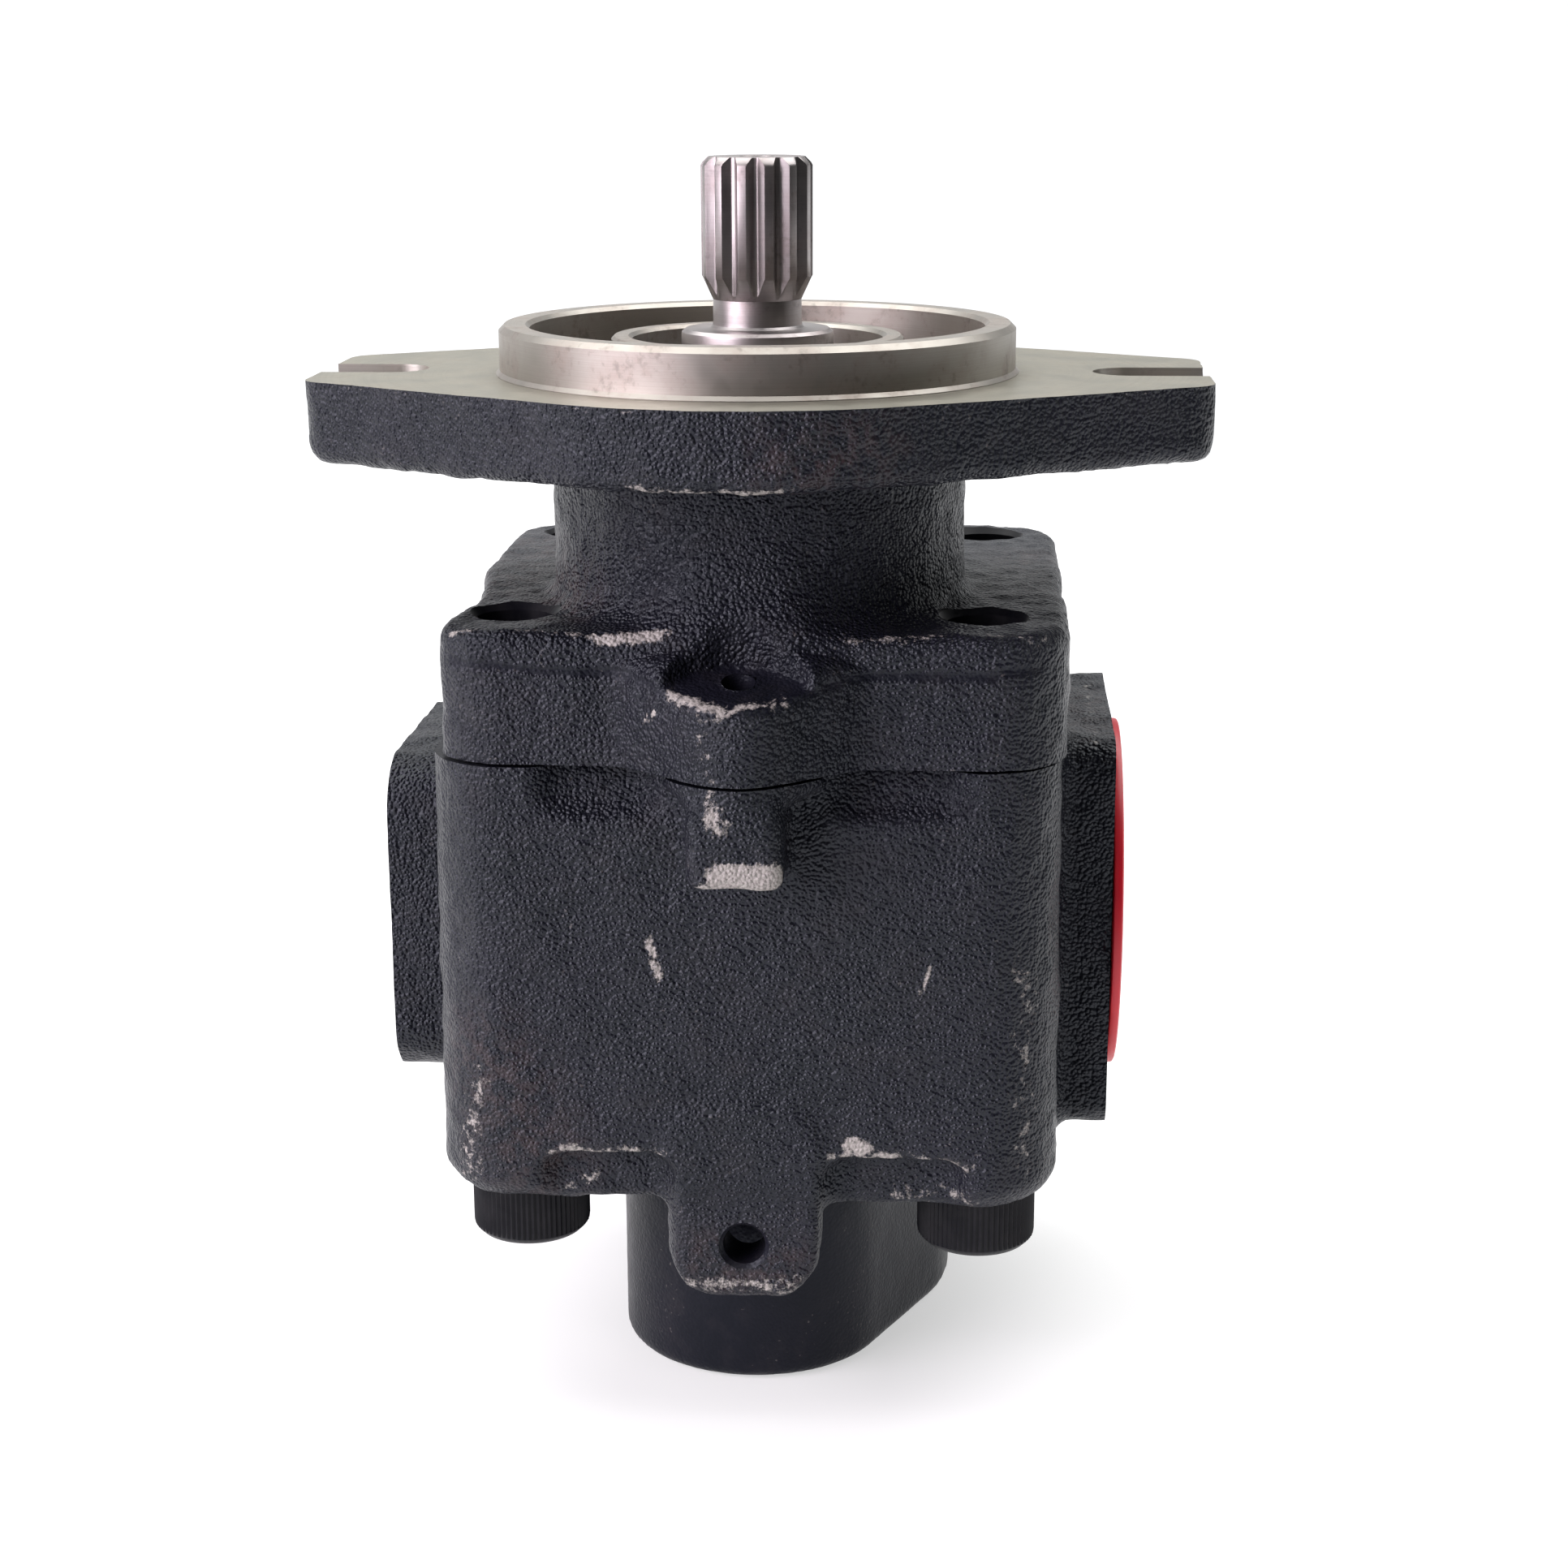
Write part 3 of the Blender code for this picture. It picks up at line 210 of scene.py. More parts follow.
def lay_along_x(obj, face_x, y, z):
    """Turns a piece modelled along +Z so that it runs out along X, away from the pump."""
    outward = copysign(1.0, face_x)
    turn = Matrix(((0, 0, outward), (outward, 0, 0), (0, 1, 0))).to_4x4()
    obj.data.transform(Matrix.Translation((face_x * MM, y * MM, z * MM)) @ turn)
    return obj


def lay_along_y(obj, x, z):
    turn = Matrix(((-1, 0, 0), (0, 0, 1), (0, 1, 0))).to_4x4()
    obj.data.transform(Matrix.Translation((x * MM, 0, z * MM)) @ turn)
    return obj


def hull_outline(circles, steps, inset=0.0):
    """The outline round circles (x, y, radius), given anticlockwise, each radius less the inset."""
    normals = []
    for (ax, ay, a_radius), (bx, by, b_radius) in zip(circles, circles[1:] + circles[:1]):
        distance = hypot(bx - ax, by - ay)
        towards = atan2(by - ay, bx - ax)
        normals.append(towards - acos((a_radius - b_radius) / distance))
    outline = []
    for i, (x, y, radius) in enumerate(circles):
        start = normals[i - 1]
        sweep = (normals[i] - start) % tau
        for step in range(steps + 1):
            angle = start + sweep * step / steps
            outline.append(
                (x + (radius - inset) * cos(angle), y + (radius - inset) * sin(angle))
            )
    return outline


def apply_modifiers(obj):
    graph = bpy.context.evaluated_depsgraph_get()
    made = bpy.data.meshes.new_from_object(obj.evaluated_get(graph), depsgraph=graph)
    obj.modifiers.clear()
    obj.data = made
    return obj


def combine(obj, cutters, operation="DIFFERENCE", solver="MANIFOLD"):
    """Booleans applied at once. Faces that a cutter leaves take the cutter's material."""
    for cutter in cutters:
        modifier = obj.modifiers.new(cutter.name, "BOOLEAN")
        modifier.operation = operation
        modifier.solver = solver
        modifier.object = cutter
        modifier.material_mode = "TRANSFER"
    apply_modifiers(obj)
    for cutter in cutters:
        bpy.data.objects.remove(cutter)
    return obj


def with_material(obj, material):
    obj.data.materials.clear()
    obj.data.materials.append(material)
    return obj


def half_space(name, low, high):
    """A block wider than the pump between two heights."""
    return prism(name, rectangle(-100, 100, -80, 95, 2), low, high)


# ------------------------------------------------------------------ solid fields


def grid_of(low, high, step):
    axes = [np.arange(a, b + step, step, dtype=np.float32) for a, b in zip(low, high)]
    return axes[0][:, None, None], axes[1][None, :, None], axes[2][None, None, :]


def join_round(a, b, radius):
    """Both solids, with a fillet of this radius where they meet."""
    u = np.maximum(radius - a, 0)
    v = np.maximum(radius - b, 0)
    return np.maximum(radius, np.minimum(a, b)) - np.sqrt(u * u + v * v)


def meet_round(a, b, radius):
    """What both solids share, its edge rounded to this radius."""
    return -join_round(-a, -b, radius)


def cut_round(a, b, radius):
    return meet_round(a, -b, radius)


def outline_distance(points, x, y):
    """Signed distance from a closed outline, negative inside."""
    best = np.full(np.broadcast_shapes(x.shape, y.shape), 1e9, np.float32)
    inside = np.zeros(best.shape, bool)
    for (ax, ay), (bx, by) in zip(points, points[1:] + points[:1]):
        ex, ey = bx - ax, by - ay
        length = ex * ex + ey * ey
        if length < 1e-9:
            continue
        t = np.clip(((x - ax) * ex + (y - ay) * ey) / length, 0, 1)
        best = np.minimum(best, (x - ax - ex * t) ** 2 + (y - ay - ey * t) ** 2)
        if abs(ey) > 1e-9:
            inside ^= ((ay > y) != (by > y)) & (x < ax + ex * (y - ay) / ey)
    return np.where(inside, -1, 1) * np.sqrt(best)


def rectangle(low_x, high_x, low_y, high_y, corner_radius, steps=8):
    circles = [
        (low_x + corner_radius, low_y + corner_radius, corner_radius),
        (high_x - corner_radius, low_y + corner_radius, corner_radius),
        (high_x - corner_radius, high_y - corner_radius, corner_radius),
        (low_x + corner_radius, high_y - corner_radius, corner_radius),
    ]
    return hull_outline(circles, steps)


def outline_in_yz(points, y, z):
    """The field of an outline of (y, z) points that runs on along X."""
    flat = outline_distance(points, y[0, :, 0][:, None, None], z[0, 0, :][None, :, None])
    return flat[:, :, 0][None, :, :]


def outline_in_xz(points, x, z):
    """The field of an outline of (x, z) points that runs on along Y."""
    flat = outline_distance(points, x[:, 0, 0][:, None, None], z[0, 0, :][None, :, None])
    return flat[:, :, 0][:, None, :]


def slab(flat, z, low, high, low_round, high_round):
    """A flat field stood up between two heights, with its two edges rounded."""
    lower = meet_round(flat, low - z, low_round)
    return meet_round(lower, z - high, high_round)


def unevenness(shape, step, sizes, seed):
    """A smooth random field: sizes is [(size of a bump in mm, its height in mm)]."""
    rng = np.random.default_rng(seed)
    frequencies = [np.fft.fftfreq(n, step) for n in shape[:2]] + [np.fft.rfftfreq(shape[2], step)]
    square = (
        frequencies[0][:, None, None] ** 2
        + frequencies[1][None, :, None] ** 2
        + frequencies[2][None, None, :] ** 2
    )
    spectrum = np.fft.rfftn(rng.standard_normal(shape).astype(np.float32))
    total = np.zeros(shape, np.float32)
    for size, height in sizes:
        low_pass = np.exp(-square * size * size * 2.0) - np.exp(-square * size * size * 8.0)
        field = np.fft.irfftn(spectrum * low_pass, s=shape, axes=(0, 1, 2)).astype(np.float32)
        total += height * field / field.std()
    return total


def surface(name, distance, low, step):
    """The zero surface of a field, as one closed mesh of small quads."""
    grid = openvdb.FloatGrid(4.0 * step)
    grid.copyFromArray(np.clip(distance, -4 * step, 4 * step).astype(np.float32))
    points, triangles, quads = grid.convertToPolygons(isovalue=0.0, adaptivity=0.0)
    points = np.asarray(points, np.float64) * step + np.asarray(low)
    count = len(quads)
    mesh = bpy.data.meshes.new(name)
    mesh.vertices.add(len(points))
    mesh.vertices.foreach_set("co", (points * MM).astype(np.float32).ravel())
    mesh.loops.add(4 * count + 3 * len(triangles))
    loops = np.concatenate([np.asarray(quads).ravel(), np.asarray(triangles).ravel()])
    mesh.loops.foreach_set("vertex_index", loops.astype(np.int32))
    mesh.polygons.add(count + len(triangles))
    starts = np.concatenate(
        [np.arange(count) * 4, 4 * count + np.arange(len(triangles)) * 3]
    ).astype(np.int32)
    mesh.polygons.foreach_set("loop_start", starts)
    mesh.update(calc_edges=True)
    mesh.validate()
    made = bpy.data.objects.new(name, mesh)
    bpy.context.scene.collection.objects.link(made)
    tidy_normals(made, 60.0)
    return made


def vertex_array(mesh, kind="co"):
    values = np.empty(len(mesh.vertices) * 3, np.float32)
    if kind == "co":
        mesh.vertices.foreach_get("co", values)
    else:
        mesh.vertex_normals.foreach_get("vector", values)
    return values.reshape(-1, 3)


def edge_sharpness(mesh, rounds=3):
    """How far each vertex stands out from the average round it, in millimetres."""
    points = vertex_array(mesh).astype(np.float64)
    normals = vertex_array(mesh, "normal")
    edges = np.empty(len(mesh.edges) * 2, np.int32)
    mesh.edges.foreach_get("vertices", edges)
    a, b = edges.reshape(-1, 2).T
    share = np.bincount(np.concatenate([a, b]), minlength=len(points))[:, None]
    smooth = points.copy()
    for _ in range(rounds):
        total = np.zeros_like(smooth)
        for axis in range(3):
            total[:, axis] = np.bincount(a, smooth[b, axis], len(points)) + np.bincount(
                b, smooth[a, axis], len(points)
            )
        smooth = 0.5 * smooth + 0.5 * total / np.maximum(share, 1)
    return ((points - smooth) * normals).sum(axis=1) / MM


def store(mesh, name, values):
    attribute = mesh.attributes.new(name, "FLOAT", "POINT")
    attribute.data.foreach_set("value", np.asarray(values, np.float32))


def near_line(points, start, end, radius):
    """1 on a line between two points in millimetres, falling to 0 at the radius."""
    start, end = np.asarray(start, float), np.asarray(end, float)
    along = end - start
    length = max((along * along).sum(), 1e-9)
    t = np.clip(((points - start) @ along) / length, 0, 1)[:, None]
    distance = np.sqrt(((points - start - t * along) ** 2).sum(axis=1))
    return np.clip(1 - distance / radius, 0, 1)


# ------------------------------------------------------------------ materials


class Nodes:
    """A node tree: add() makes a node, and its inputs are values or other sockets."""

    KINDS = {
        "TEX_COORD": "TexCoord", "NOISE": "TexNoise", "VORONOI": "TexVoronoi", "MATH": "Math",
        "VECTOR": "VectorMath", "MIX": "Mix", "RANGE": "MapRange", "BUMP": "Bump",
        "ATTRIBUTE": "Attribute", "SEPARATE": "SeparateXYZ", "COMBINE": "CombineXYZ",
    }

    def __init__(self, tree):
        self.tree = tree

    def set_input(self, socket, value):
        if isinstance(value, bpy.types.NodeSocket):
            self.tree.links.new(value, socket)
        elif value is not None:
            if isinstance(value, tuple) and len(value) == 3 and socket.type == "RGBA":
                value = (*value, 1.0)
            socket.default_value = value

    def add(self, kind, inputs=None, **settings):
        made = self.tree.nodes.new("ShaderNode" + self.KINDS[kind])
        for key, value in settings.items():
            setattr(made, key, value)
        for key, value in (inputs or {}).items():
            self.set_input(made.inputs[key], value)
        return made

    def math(self, operation, a, b=0.0, clamp=False):
        return self.add("MATH", {0: a, 1: b}, operation=operation, use_clamp=clamp).outputs[0]

    def plus(self, a, b):
        return self.math("ADD", a, b)

    def minus(self, a, b):
        return self.math("SUBTRACT", a, b)

    def times(self, a, b, clamp=False):
        return self.math("MULTIPLY", a, b, clamp)

    def ramp(self, value, low, high, to_low=0.0, to_high=1.0):
        made = self.add(
            "RANGE",
            {"Value": value, "From Min": low, "From Max": high, "To Min": to_low, "To Max": to_high},
            clamp=True,
        )
        return made.outputs["Result"]

    def blend(self, share, a, b):
        """The colour a where share is 0 and b where it is 1."""
        made = self.add("MIX", data_type="RGBA")
        self.set_input(made.inputs[0], share)
        self.set_input(made.inputs[6], a)
        self.set_input(made.inputs[7], b)
        return made.outputs[2]


class Finish(Nodes):
    """A procedural material whose textures are laid out in millimetres."""

    def __init__(self, name):
        self.material = bpy.data.materials.new(name)
        self.material.use_nodes = True
        super().__init__(self.material.node_tree)
        self.shader = self.tree.nodes["Principled BSDF"]
        place = self.add("TEX_COORD").outputs["Object"]
        scaled = self.add("VECTOR", {"Vector": place, "Scale": 1.0 / MM}, operation="SCALE")
        self.millimetres = scaled.outputs["Vector"]

    def noise(self, size, detail=3.0, roughness=0.55, place=None):
        """Noise from 0 to 1 whose features are about size millimetres across."""
        place = self.millimetres if place is None else place
        inputs = {"Vector": place, "Scale": 1.0 / size, "Detail": detail, "Roughness": roughness}
        return self.add("NOISE", inputs).outputs["Fac"]

    def attribute(self, name):
        return self.add("ATTRIBUTE", attribute_name=name).outputs["Fac"]

    def bump(self, height, distance_mm, strength=1.0, normal=None):
        made = self.add("BUMP", {"Height": height, "Distance": distance_mm * MM, "Strength": strength})
        if normal is not None:
            self.set_input(made.inputs["Normal"], normal)
        return made.outputs["Normal"]

    def shade(self, **inputs):
        for key, value in inputs.items():
            self.set_input(self.shader.inputs[key.replace("_", " ")], value)
        return self.material


def cast_finish(name, grain=1.0, tint=(0.0052, 0.0058, 0.0098), smooth=False):
    """Near-black paint over a sand casting, worn to bare iron along its edges."""
    f = Finish(name)
    broad = f.noise(26.0, 4.0, 0.6)
    patch = f.noise(7.0, 3.0, 0.6)
    fine = f.noise(0.55, 2.0, 0.5)
    pebbles = f.add(
        "VORONOI",
        {"Vector": f.millimetres, "Scale": 1.0 / (0.74 * grain), "Smoothness": 0.4},
        feature="SMOOTH_F1",
    ).outputs["Distance"]
    grains = f.minus(1.0, f.times(pebbles, 1.15))
    lumps = f.noise(1.35 * grain, 2.0, 0.55)
    cool = f.blend(f.ramp(broad, 0.35, 0.65), tint, (0.0085, 0.0082, 0.0140))
    dusty = f.blend(f.times(f.ramp(patch, 0.5, 0.75), 0.5), cool, (0.0200, 0.0180, 0.0215))
    specks = f.times(f.ramp(f.noise(0.9, 1.0, 0.5), 0.70, 0.76), f.ramp(f.noise(14.0, 2.0), 0.5, 0.62))
    speckled = f.blend(f.times(specks, 0.45), dusty, (0.160, 0.145, 0.140))
    if smooth:
        worn = speckled
        wear = f.times(specks, 0.2)
    else:
        rust = f.times(f.attribute("rust"), f.ramp(f.noise(3.2, 4.0, 0.7), 0.42, 0.62), clamp=True)
        rusty = f.blend(f.times(rust, 0.55), speckled, (0.060, 0.037, 0.036))
        chips = f.plus(f.attribute("edge"), f.attribute("chip"))
        broken = f.times(f.minus(f.noise(1.9, 5.0, 0.75), 0.5), 2.2)
        wear = f.ramp(f.plus(chips, broken), 0.55, 0.82)
        iron = f.blend(fine, (0.23, 0.205, 0.190), (0.62, 0.58, 0.54))
        worn = f.blend(f.times(wear, 0.85), rusty, iron)
    relief = f.plus(grains, f.plus(f.times(lumps, 0.9), f.times(fine, 0.30)))
    if smooth:
        normal = f.bump(relief, 0.06 * grain, 1.0)
    else:
        flat = f.minus(1.0, f.times(f.attribute("smooth"), 0.85))
        normal = f.bump(f.times(relief, flat), 0.46 * grain, 1.0)
    f.shader.inputs["Specular Tint"].default_value = (0.86, 0.93, 1.0, 1.0)
    gloss = 0.28 if smooth else f.ramp(f.attribute("smooth"), 0.0, 1.0, 0.34, 0.16)
    f.set_input(f.shader.inputs["Specular IOR Level"], gloss)
    roughness = f.ramp(f.plus(patch, f.times(wear, 0.4)), 0.3, 1.0, 0.33, 0.47)
    return f.shade(Base_Color=worn, Roughness=roughness, Normal=normal)


def machined_finish(name, lathe="facing", colour=(0.46, 0.44, 0.40), roughness=0.38, stain=0.35):
    """Bare cut iron or steel with tool marks round Z: along the radius on a face, along Z on a wall."""
    f = Finish(name)
    parts = f.add("SEPARATE", {"Vector": f.millimetres})
    x, y, z = parts.outputs
    radius = f.math("SQRT", f.plus(f.times(x, x), f.times(y, y)))
    line = {"facing": radius, "wall": z}.get(lathe)
    if line is None:
        line = f.plus(radius, z)
    across, along = f.times(line, 3.4), f.times(radius, 0.02)
    stretched = f.add("COMBINE", {"X": across, "Y": along}).outputs[0]
    grooves = f.noise(1.0, 3.0, 0.6, stretched)
    blotch = f.noise(9.0, 5.0, 0.62)
    small = f.noise(1.6, 3.0, 0.6)
    dark = tuple(0.52 * value for value in colour)
    warm = (colour[0] * 0.86, colour[1] * 0.76, colour[2] * 0.74)
    base = f.blend(f.times(f.ramp(blotch, 0.46, 0.68), stain), colour, warm)
    stained = f.blend(f.times(f.ramp(f.times(blotch, small), 0.30, 0.42), stain), base, dark)
    streaked = f.blend(f.times(f.ramp(grooves, 0.35, 0.7), 0.22), stained, dark)
    normal = f.bump(grooves, 0.018, 0.8)
    normal = f.bump(small, 0.006, 0.6, normal)
    rough = f.ramp(blotch, 0.3, 0.7, roughness - 0.05, roughness + 0.10)
    return f.shade(Base_Color=streaked, Metallic=1.0, Roughness=rough, Normal=normal)


def black_steel_finish(name):
    """Oiled black oxide on an alloy screw."""
    f = Finish(name)
    blotch = f.noise(5.0, 4.0, 0.6)
    fine = f.noise(0.5, 2.0, 0.6)
    worn = f.blend(f.ramp(blotch, 0.4, 0.75), (0.0050, 0.0052, 0.0075), (0.0150, 0.0148, 0.0170))
    normal = f.bump(fine, 0.02, 0.5)
    f.shader.inputs["Specular IOR Level"].default_value = 0.15
    return f.shade(Base_Color=worn, Roughness=f.ramp(blotch, 0.3, 0.7, 0.34, 0.48), Normal=normal)


def plastic_finish(name):
    """Moulded red polyethylene with faint flow marks."""
    f = Finish(name)
    flow = f.noise(12.0, 3.0, 0.5)
    fine = f.noise(0.6, 2.0, 0.5)
    base = f.blend(f.ramp(flow, 0.3, 0.7), (0.72, 0.012, 0.030), (0.56, 0.008, 0.024))
    normal = f.bump(f.plus(flow, f.times(fine, 0.25)), 0.05, 0.4)
    f.shader.inputs["Subsurface Weight"].default_value = 0.08
    f.shader.inputs["Subsurface Scale"].default_value = 0.002
    return f.shade(Base_Color=base, Roughness=f.ramp(fine, 0.3, 0.7, 0.34, 0.44), Normal=normal)


def rubber_finish(name):
    """Moulded seal rubber."""
    f = Finish(name)
    fine = f.noise(0.7, 3.0, 0.6)
    bloom = f.noise(6.0, 3.0, 0.6)
    base = f.blend(f.ramp(bloom, 0.35, 0.75), (0.012, 0.012, 0.012), (0.034, 0.033, 0.032))
    return f.shade(
        Base_Color=base, Roughness=f.ramp(bloom, 0.3, 0.7, 0.55, 0.72), Normal=f.bump(fine, 0.03, 0.5)
    )


casting = cast_finish("cast_black")
casting_smooth = cast_finish("cast_black_smooth", grain=0.8, tint=(0.0040, 0.0044, 0.0070), smooth=True)
faced = machined_finish("machined_face", "facing", (0.320, 0.307, 0.258), 0.42, 0.25)
bored = machined_finish("machined_bore", "wall", (0.44, 0.42, 0.38), 0.34, 0.45)
turned_iron = machined_finish("turned_iron", "both", (0.375, 0.350, 0.315), 0.40, 0.60)
shaft_steel = machined_finish("shaft_steel", "wall", (0.345, 0.318, 0.315), 0.35, 0.60)
gear_steel = machined_finish("gear_steel", "both", (0.46, 0.45, 0.45), 0.26, 0.2)
small_steel = machined_finish("small_steel", "both", (0.44, 0.43, 0.42), 0.30, 0.2)
bronze = machined_finish("bearing_bronze", "both", (0.62, 0.40, 0.17), 0.32, 0.35)
black_steel = black_steel_finish("black_oxide")
red_plastic = plastic_finish("red_plastic")
rubber = rubber_finish("seal_rubber")


# ------------------------------------------------------------------ castings


def wear_marks(obj, marks, rusty):
    """Stores where the paint is worn: edge from the shape, chip and rust from stated places."""
    mesh = obj.data
    points = vertex_array(mesh) / MM
    sharp = edge_sharpness(mesh)
    store(mesh, "edge", np.clip((sharp - 0.16) / 0.5, 0, 1) * 0.42)
    chip = 0.62 * np.clip(1 - np.abs(points[:, 2] - FACE) / 1.3, 0, 1)
    for start, end, radius, strength in marks:
        chip = np.maximum(chip, strength * near_line(points, start, end, radius))
    store(mesh, "chip", chip)
    rust = np.zeros(len(points))
    for start, end, radius in rusty:
        rust = np.maximum(rust, near_line(points, start, end, radius))
    store(mesh, "rust", rust)


def marks_from(height, marks):
    """Marks whose heights are stated from this one: start, end, radius and perhaps a strength."""
    lift = (0, 0, height)
    return [(np.add(start, lift), np.add(end, lift), *rest) for start, end, *rest in marks]


LUG_HALF_WIDTH = 27.0
LUG_SLOPE = 0.295
BODY_FRONT = -45.6


def lug_distance(x, y):
    """The front lug as cover and housing share it: a bell-shaped bulge of the front face."""
    reach = np.minimum(np.abs(x), LUG_HALF_WIDTH) * pi / LUG_HALF_WIDTH
    height = BODY_FRONT - LUG_FRONT - 0.2
    front = BODY_FRONT - height * (0.5 + 0.5 * np.cos(reach))
    slope = height * 0.5 * pi / LUG_HALF_WIDTH * np.sin(reach)
    bulge = (front - y) / np.sqrt(1 + slope * slope)
    return np.maximum(np.maximum(bulge, y + 30.0), np.abs(x) - LUG_HALF_WIDTH)


def build_cover():
    step = 0.9
    low = (FLANGE_LEFT - 3.0, -68.0, COVER_REAR - 6.0)
    high = (FLANGE_RIGHT + 3.0, BODY_BACK + 3.0, FACE + 5.0)
    x, y, z = grid_of(low, high, step)
    left, right = FLANGE_LEFT, FLANGE_RIGHT
    plate = outline_distance(
        hull_outline(
            [
                (left + 7, -19, 7), (0, -5, 60), (right - 7, -19, 7), (right - 7, 19, 7), (0, 5, 60),
                (left + 7, 19, 7),
            ],
            16,
        ),
        x,
        y,
    )
    flange = slab(plate + 0.1, z, FLANGE_BACK + 0.008 * x, FACE + 9.0, 3.4, 1.0)
    neck = np.sqrt((x - 0.25) ** 2 + y * y) - NECK_RADIUS - 0.3 + 0.0 * z
    neck = meet_round(neck, np.abs(z - (FACE + COVER_TOP) / 2) - (FACE - COVER_TOP) / 2 - 3, 0.5)
    block = outline_distance(rectangle(-60.3, 61.6, -45.7, BODY_BACK - 0.3, 15.0), x, y)
    waist = np.sqrt((x + 107.0) ** 2 + (y + 11.0) ** 2) - 50.0
    block = cut_round(block, waist, 9.0)
    dip = np.sqrt((x + 14.0) ** 2 + (y - BODY_BACK - 92.0) ** 2) - 96.0
    block = cut_round(block, dip, 10.0)
    cover = slab(block, z, COVER_REAR - 5.0, COVER_TOP, 1.0, 3.2)
    lug = slab(lug_distance(x, y), z, COVER_REAR - 5.0, LUG_FACE + 4.6, 1.0, 4.2)
    cover = np.minimum(cover, lug)
    lean = radians(19.0)
    front = -(y + 46.2) * cos(lean) + (z - LUG_FACE) * sin(lean)
    flare = (np.abs(x) + (z - LUG_FACE) * 0.34 - 19.0) * 0.94
    apron = meet_round(front, flare, 7.0)
    apron = meet_round(apron, y + 20.0, 2.0)
    apron = meet_round(apron, LUG_FACE - 6.0 - z, 2.0)
    neck_fillet = 3.6 + 5.0 * np.clip((-y - 18.0) / 20.0, 0, 1)
    solid = join_round(cover, neck, neck_fillet)
    solid = join_round(solid, apron, 5.0)
    solid = join_round(solid, flange, 3.0)
    spot = np.sqrt(x * x + (y + 60.5) ** 2) - 16.2 + 0.0 * z
    foot = LUG_FACE + 1.5 + LUG_SLOPE * (y + 45.0)
    spot = meet_round(spot, (foot - z) * 0.96, 1.6)
    spot = np.maximum(spot, z - LUG_FACE - 26.0)
    solid = cut_round(solid, spot, 1.0)
    solid = solid + unevenness(solid.shape, step, ((12.0, 0.12), (4.0, 0.07), (1.5, 0.05)), seed=11)
    inside_box = np.maximum(
        np.maximum(FLANGE_LEFT + 0.1 - x, x - FLANGE_RIGHT + 0.1),
        np.maximum(FLANGE_FRONT + 0.1 - y, y - BODY_BACK + 0.1),
    )
    solid = np.maximum(solid, inside_box)
    obj = surface("front_cover_casting", solid, low, step)
    points = vertex_array(obj.data) / MM
    foot = LUG_FACE + 1.5 + LUG_SLOPE * (points[:, 1] + 45.0)
    store(obj.data, "smooth", 0.7 * (np.abs(points[:, 2] - foot) < 0.9) * (points[:, 1] < -42))
    chips = [((-7, -59, LUG_FACE - 4), (-4, -60, COVER_REAR), 4.5, 0.5)]
    chips += marks_from(COVER_TOP, [
        ((-58, -41, -1), (-25, -44.5, -1), 1.8, 1.0), ((-27, -44.5, -1), (-20, -44.5, -1), 2.6, 0.92),
        ((-25, -45, -1), (-13.5, -44, -0.5), 2.8, 1.25),
        ((-14.9, -46, -4.4), (-13.6, -46, -5.0), 2.0, 1.25), ((58, -41, -1), (20, -44.5, -1), 3.0, 0.7),
    ])
    chips += marks_from(LUG_FACE, [
        ((-12, -54, -1.0), (-2, -60, -2.6), 3.6, 0.95), ((-2, -60, -2.6), (9, -56, -1.5), 3.0, 0.8),
        ((-15.5, -52, -5), (-17.5, -51, -9), 0.9, 1.2), ((-17.0, -51, -6), (-18.6, -50, -9), 0.8, 1.1),
    ])
    chips += marks_from(FLANGE_BACK, [((-20, -62, 0), (22, -64, 0), 3.0, 0.9)])
    chips += marks_from(JOINT, [((-18, -44, 9), (-16, -44, 14), 1.8, 0.8)])
    rusty = marks_from(COVER_TOP, [
        ((-50, 0, 0), (-50, 50, 0), 22), ((-36, -26, 2), (-44, 0, 4), 14), ((54, 0, 0), (54, 40, 0), 12),
    ])
    rusty += marks_from(FLANGE_BACK, [((10, -62, 5), (25, -60, 8), 12)])
    wear_marks(obj, chips, rusty)
    with_material(obj, casting)
    cutters = [
        with_material(half_space("cut_face", FACE, FACE + 30), faced),
        with_material(half_space("cut_joint", COVER_REAR - 30, COVER_REAR + 0.3), casting_smooth),
        with_material(rod("cut_recess", 49.0, FACE - 13.0, FACE + 20, segments=160), bored),
        with_material(rod("cut_seal_bore", 19.0, FRONT_BORE_TOP - 1, FACE - 5, segments=96), bored),
    ]
    for owner, py in (("drive", 0), ("driven", DRIVEN_Y)):
        bore = rod(f"cut_{owner}_bore", BEARING_BORE, COVER_REAR - 5, FRONT_BORE_TOP, (0, py), 96)
        cutters.append(with_material(bore, bored))
    hole = [(0, LUG_FACE - 13), (3.2, LUG_FACE - 11.5), (3.2, LUG_FACE + 3.2), (0, LUG_FACE + 3.8)]
    cutters.append(with_material(turned("cut_lug_hole", hole, 48, (0, -49.3)), casting_smooth))
    for side in (-1, 1):
        slot_circles = [(0, 0, SLOT_RADIUS), (40, 0, SLOT_RADIUS)]
        outline = [(side * px, side * py) for px, py in hull_outline(slot_circles, 28)]
        slot = prism(f"cut_slot_{side + 1}", outline, FLANGE_BACK - 8, FACE + 8, (side * SLOT_X, 0))
        cutters.append(with_material(slot, bored))
    for index, (px, py) in enumerate(SCREWS.values()):
        profile = [
            (0, COVER_REAR - 4), (7.5, COVER_REAR - 4), (7.5, COVER_TOP - 1.2), (9.0, COVER_TOP + 0.4),
            (9.0, COVER_TOP + 6), (0, COVER_TOP + 6),
        ]
        cutters.append(with_material(turned(f"cut_screw_{index}", profile, 64, (px, py)), black_steel))
    return split_normals(combine(obj, cutters), CASTING_ANGLE)


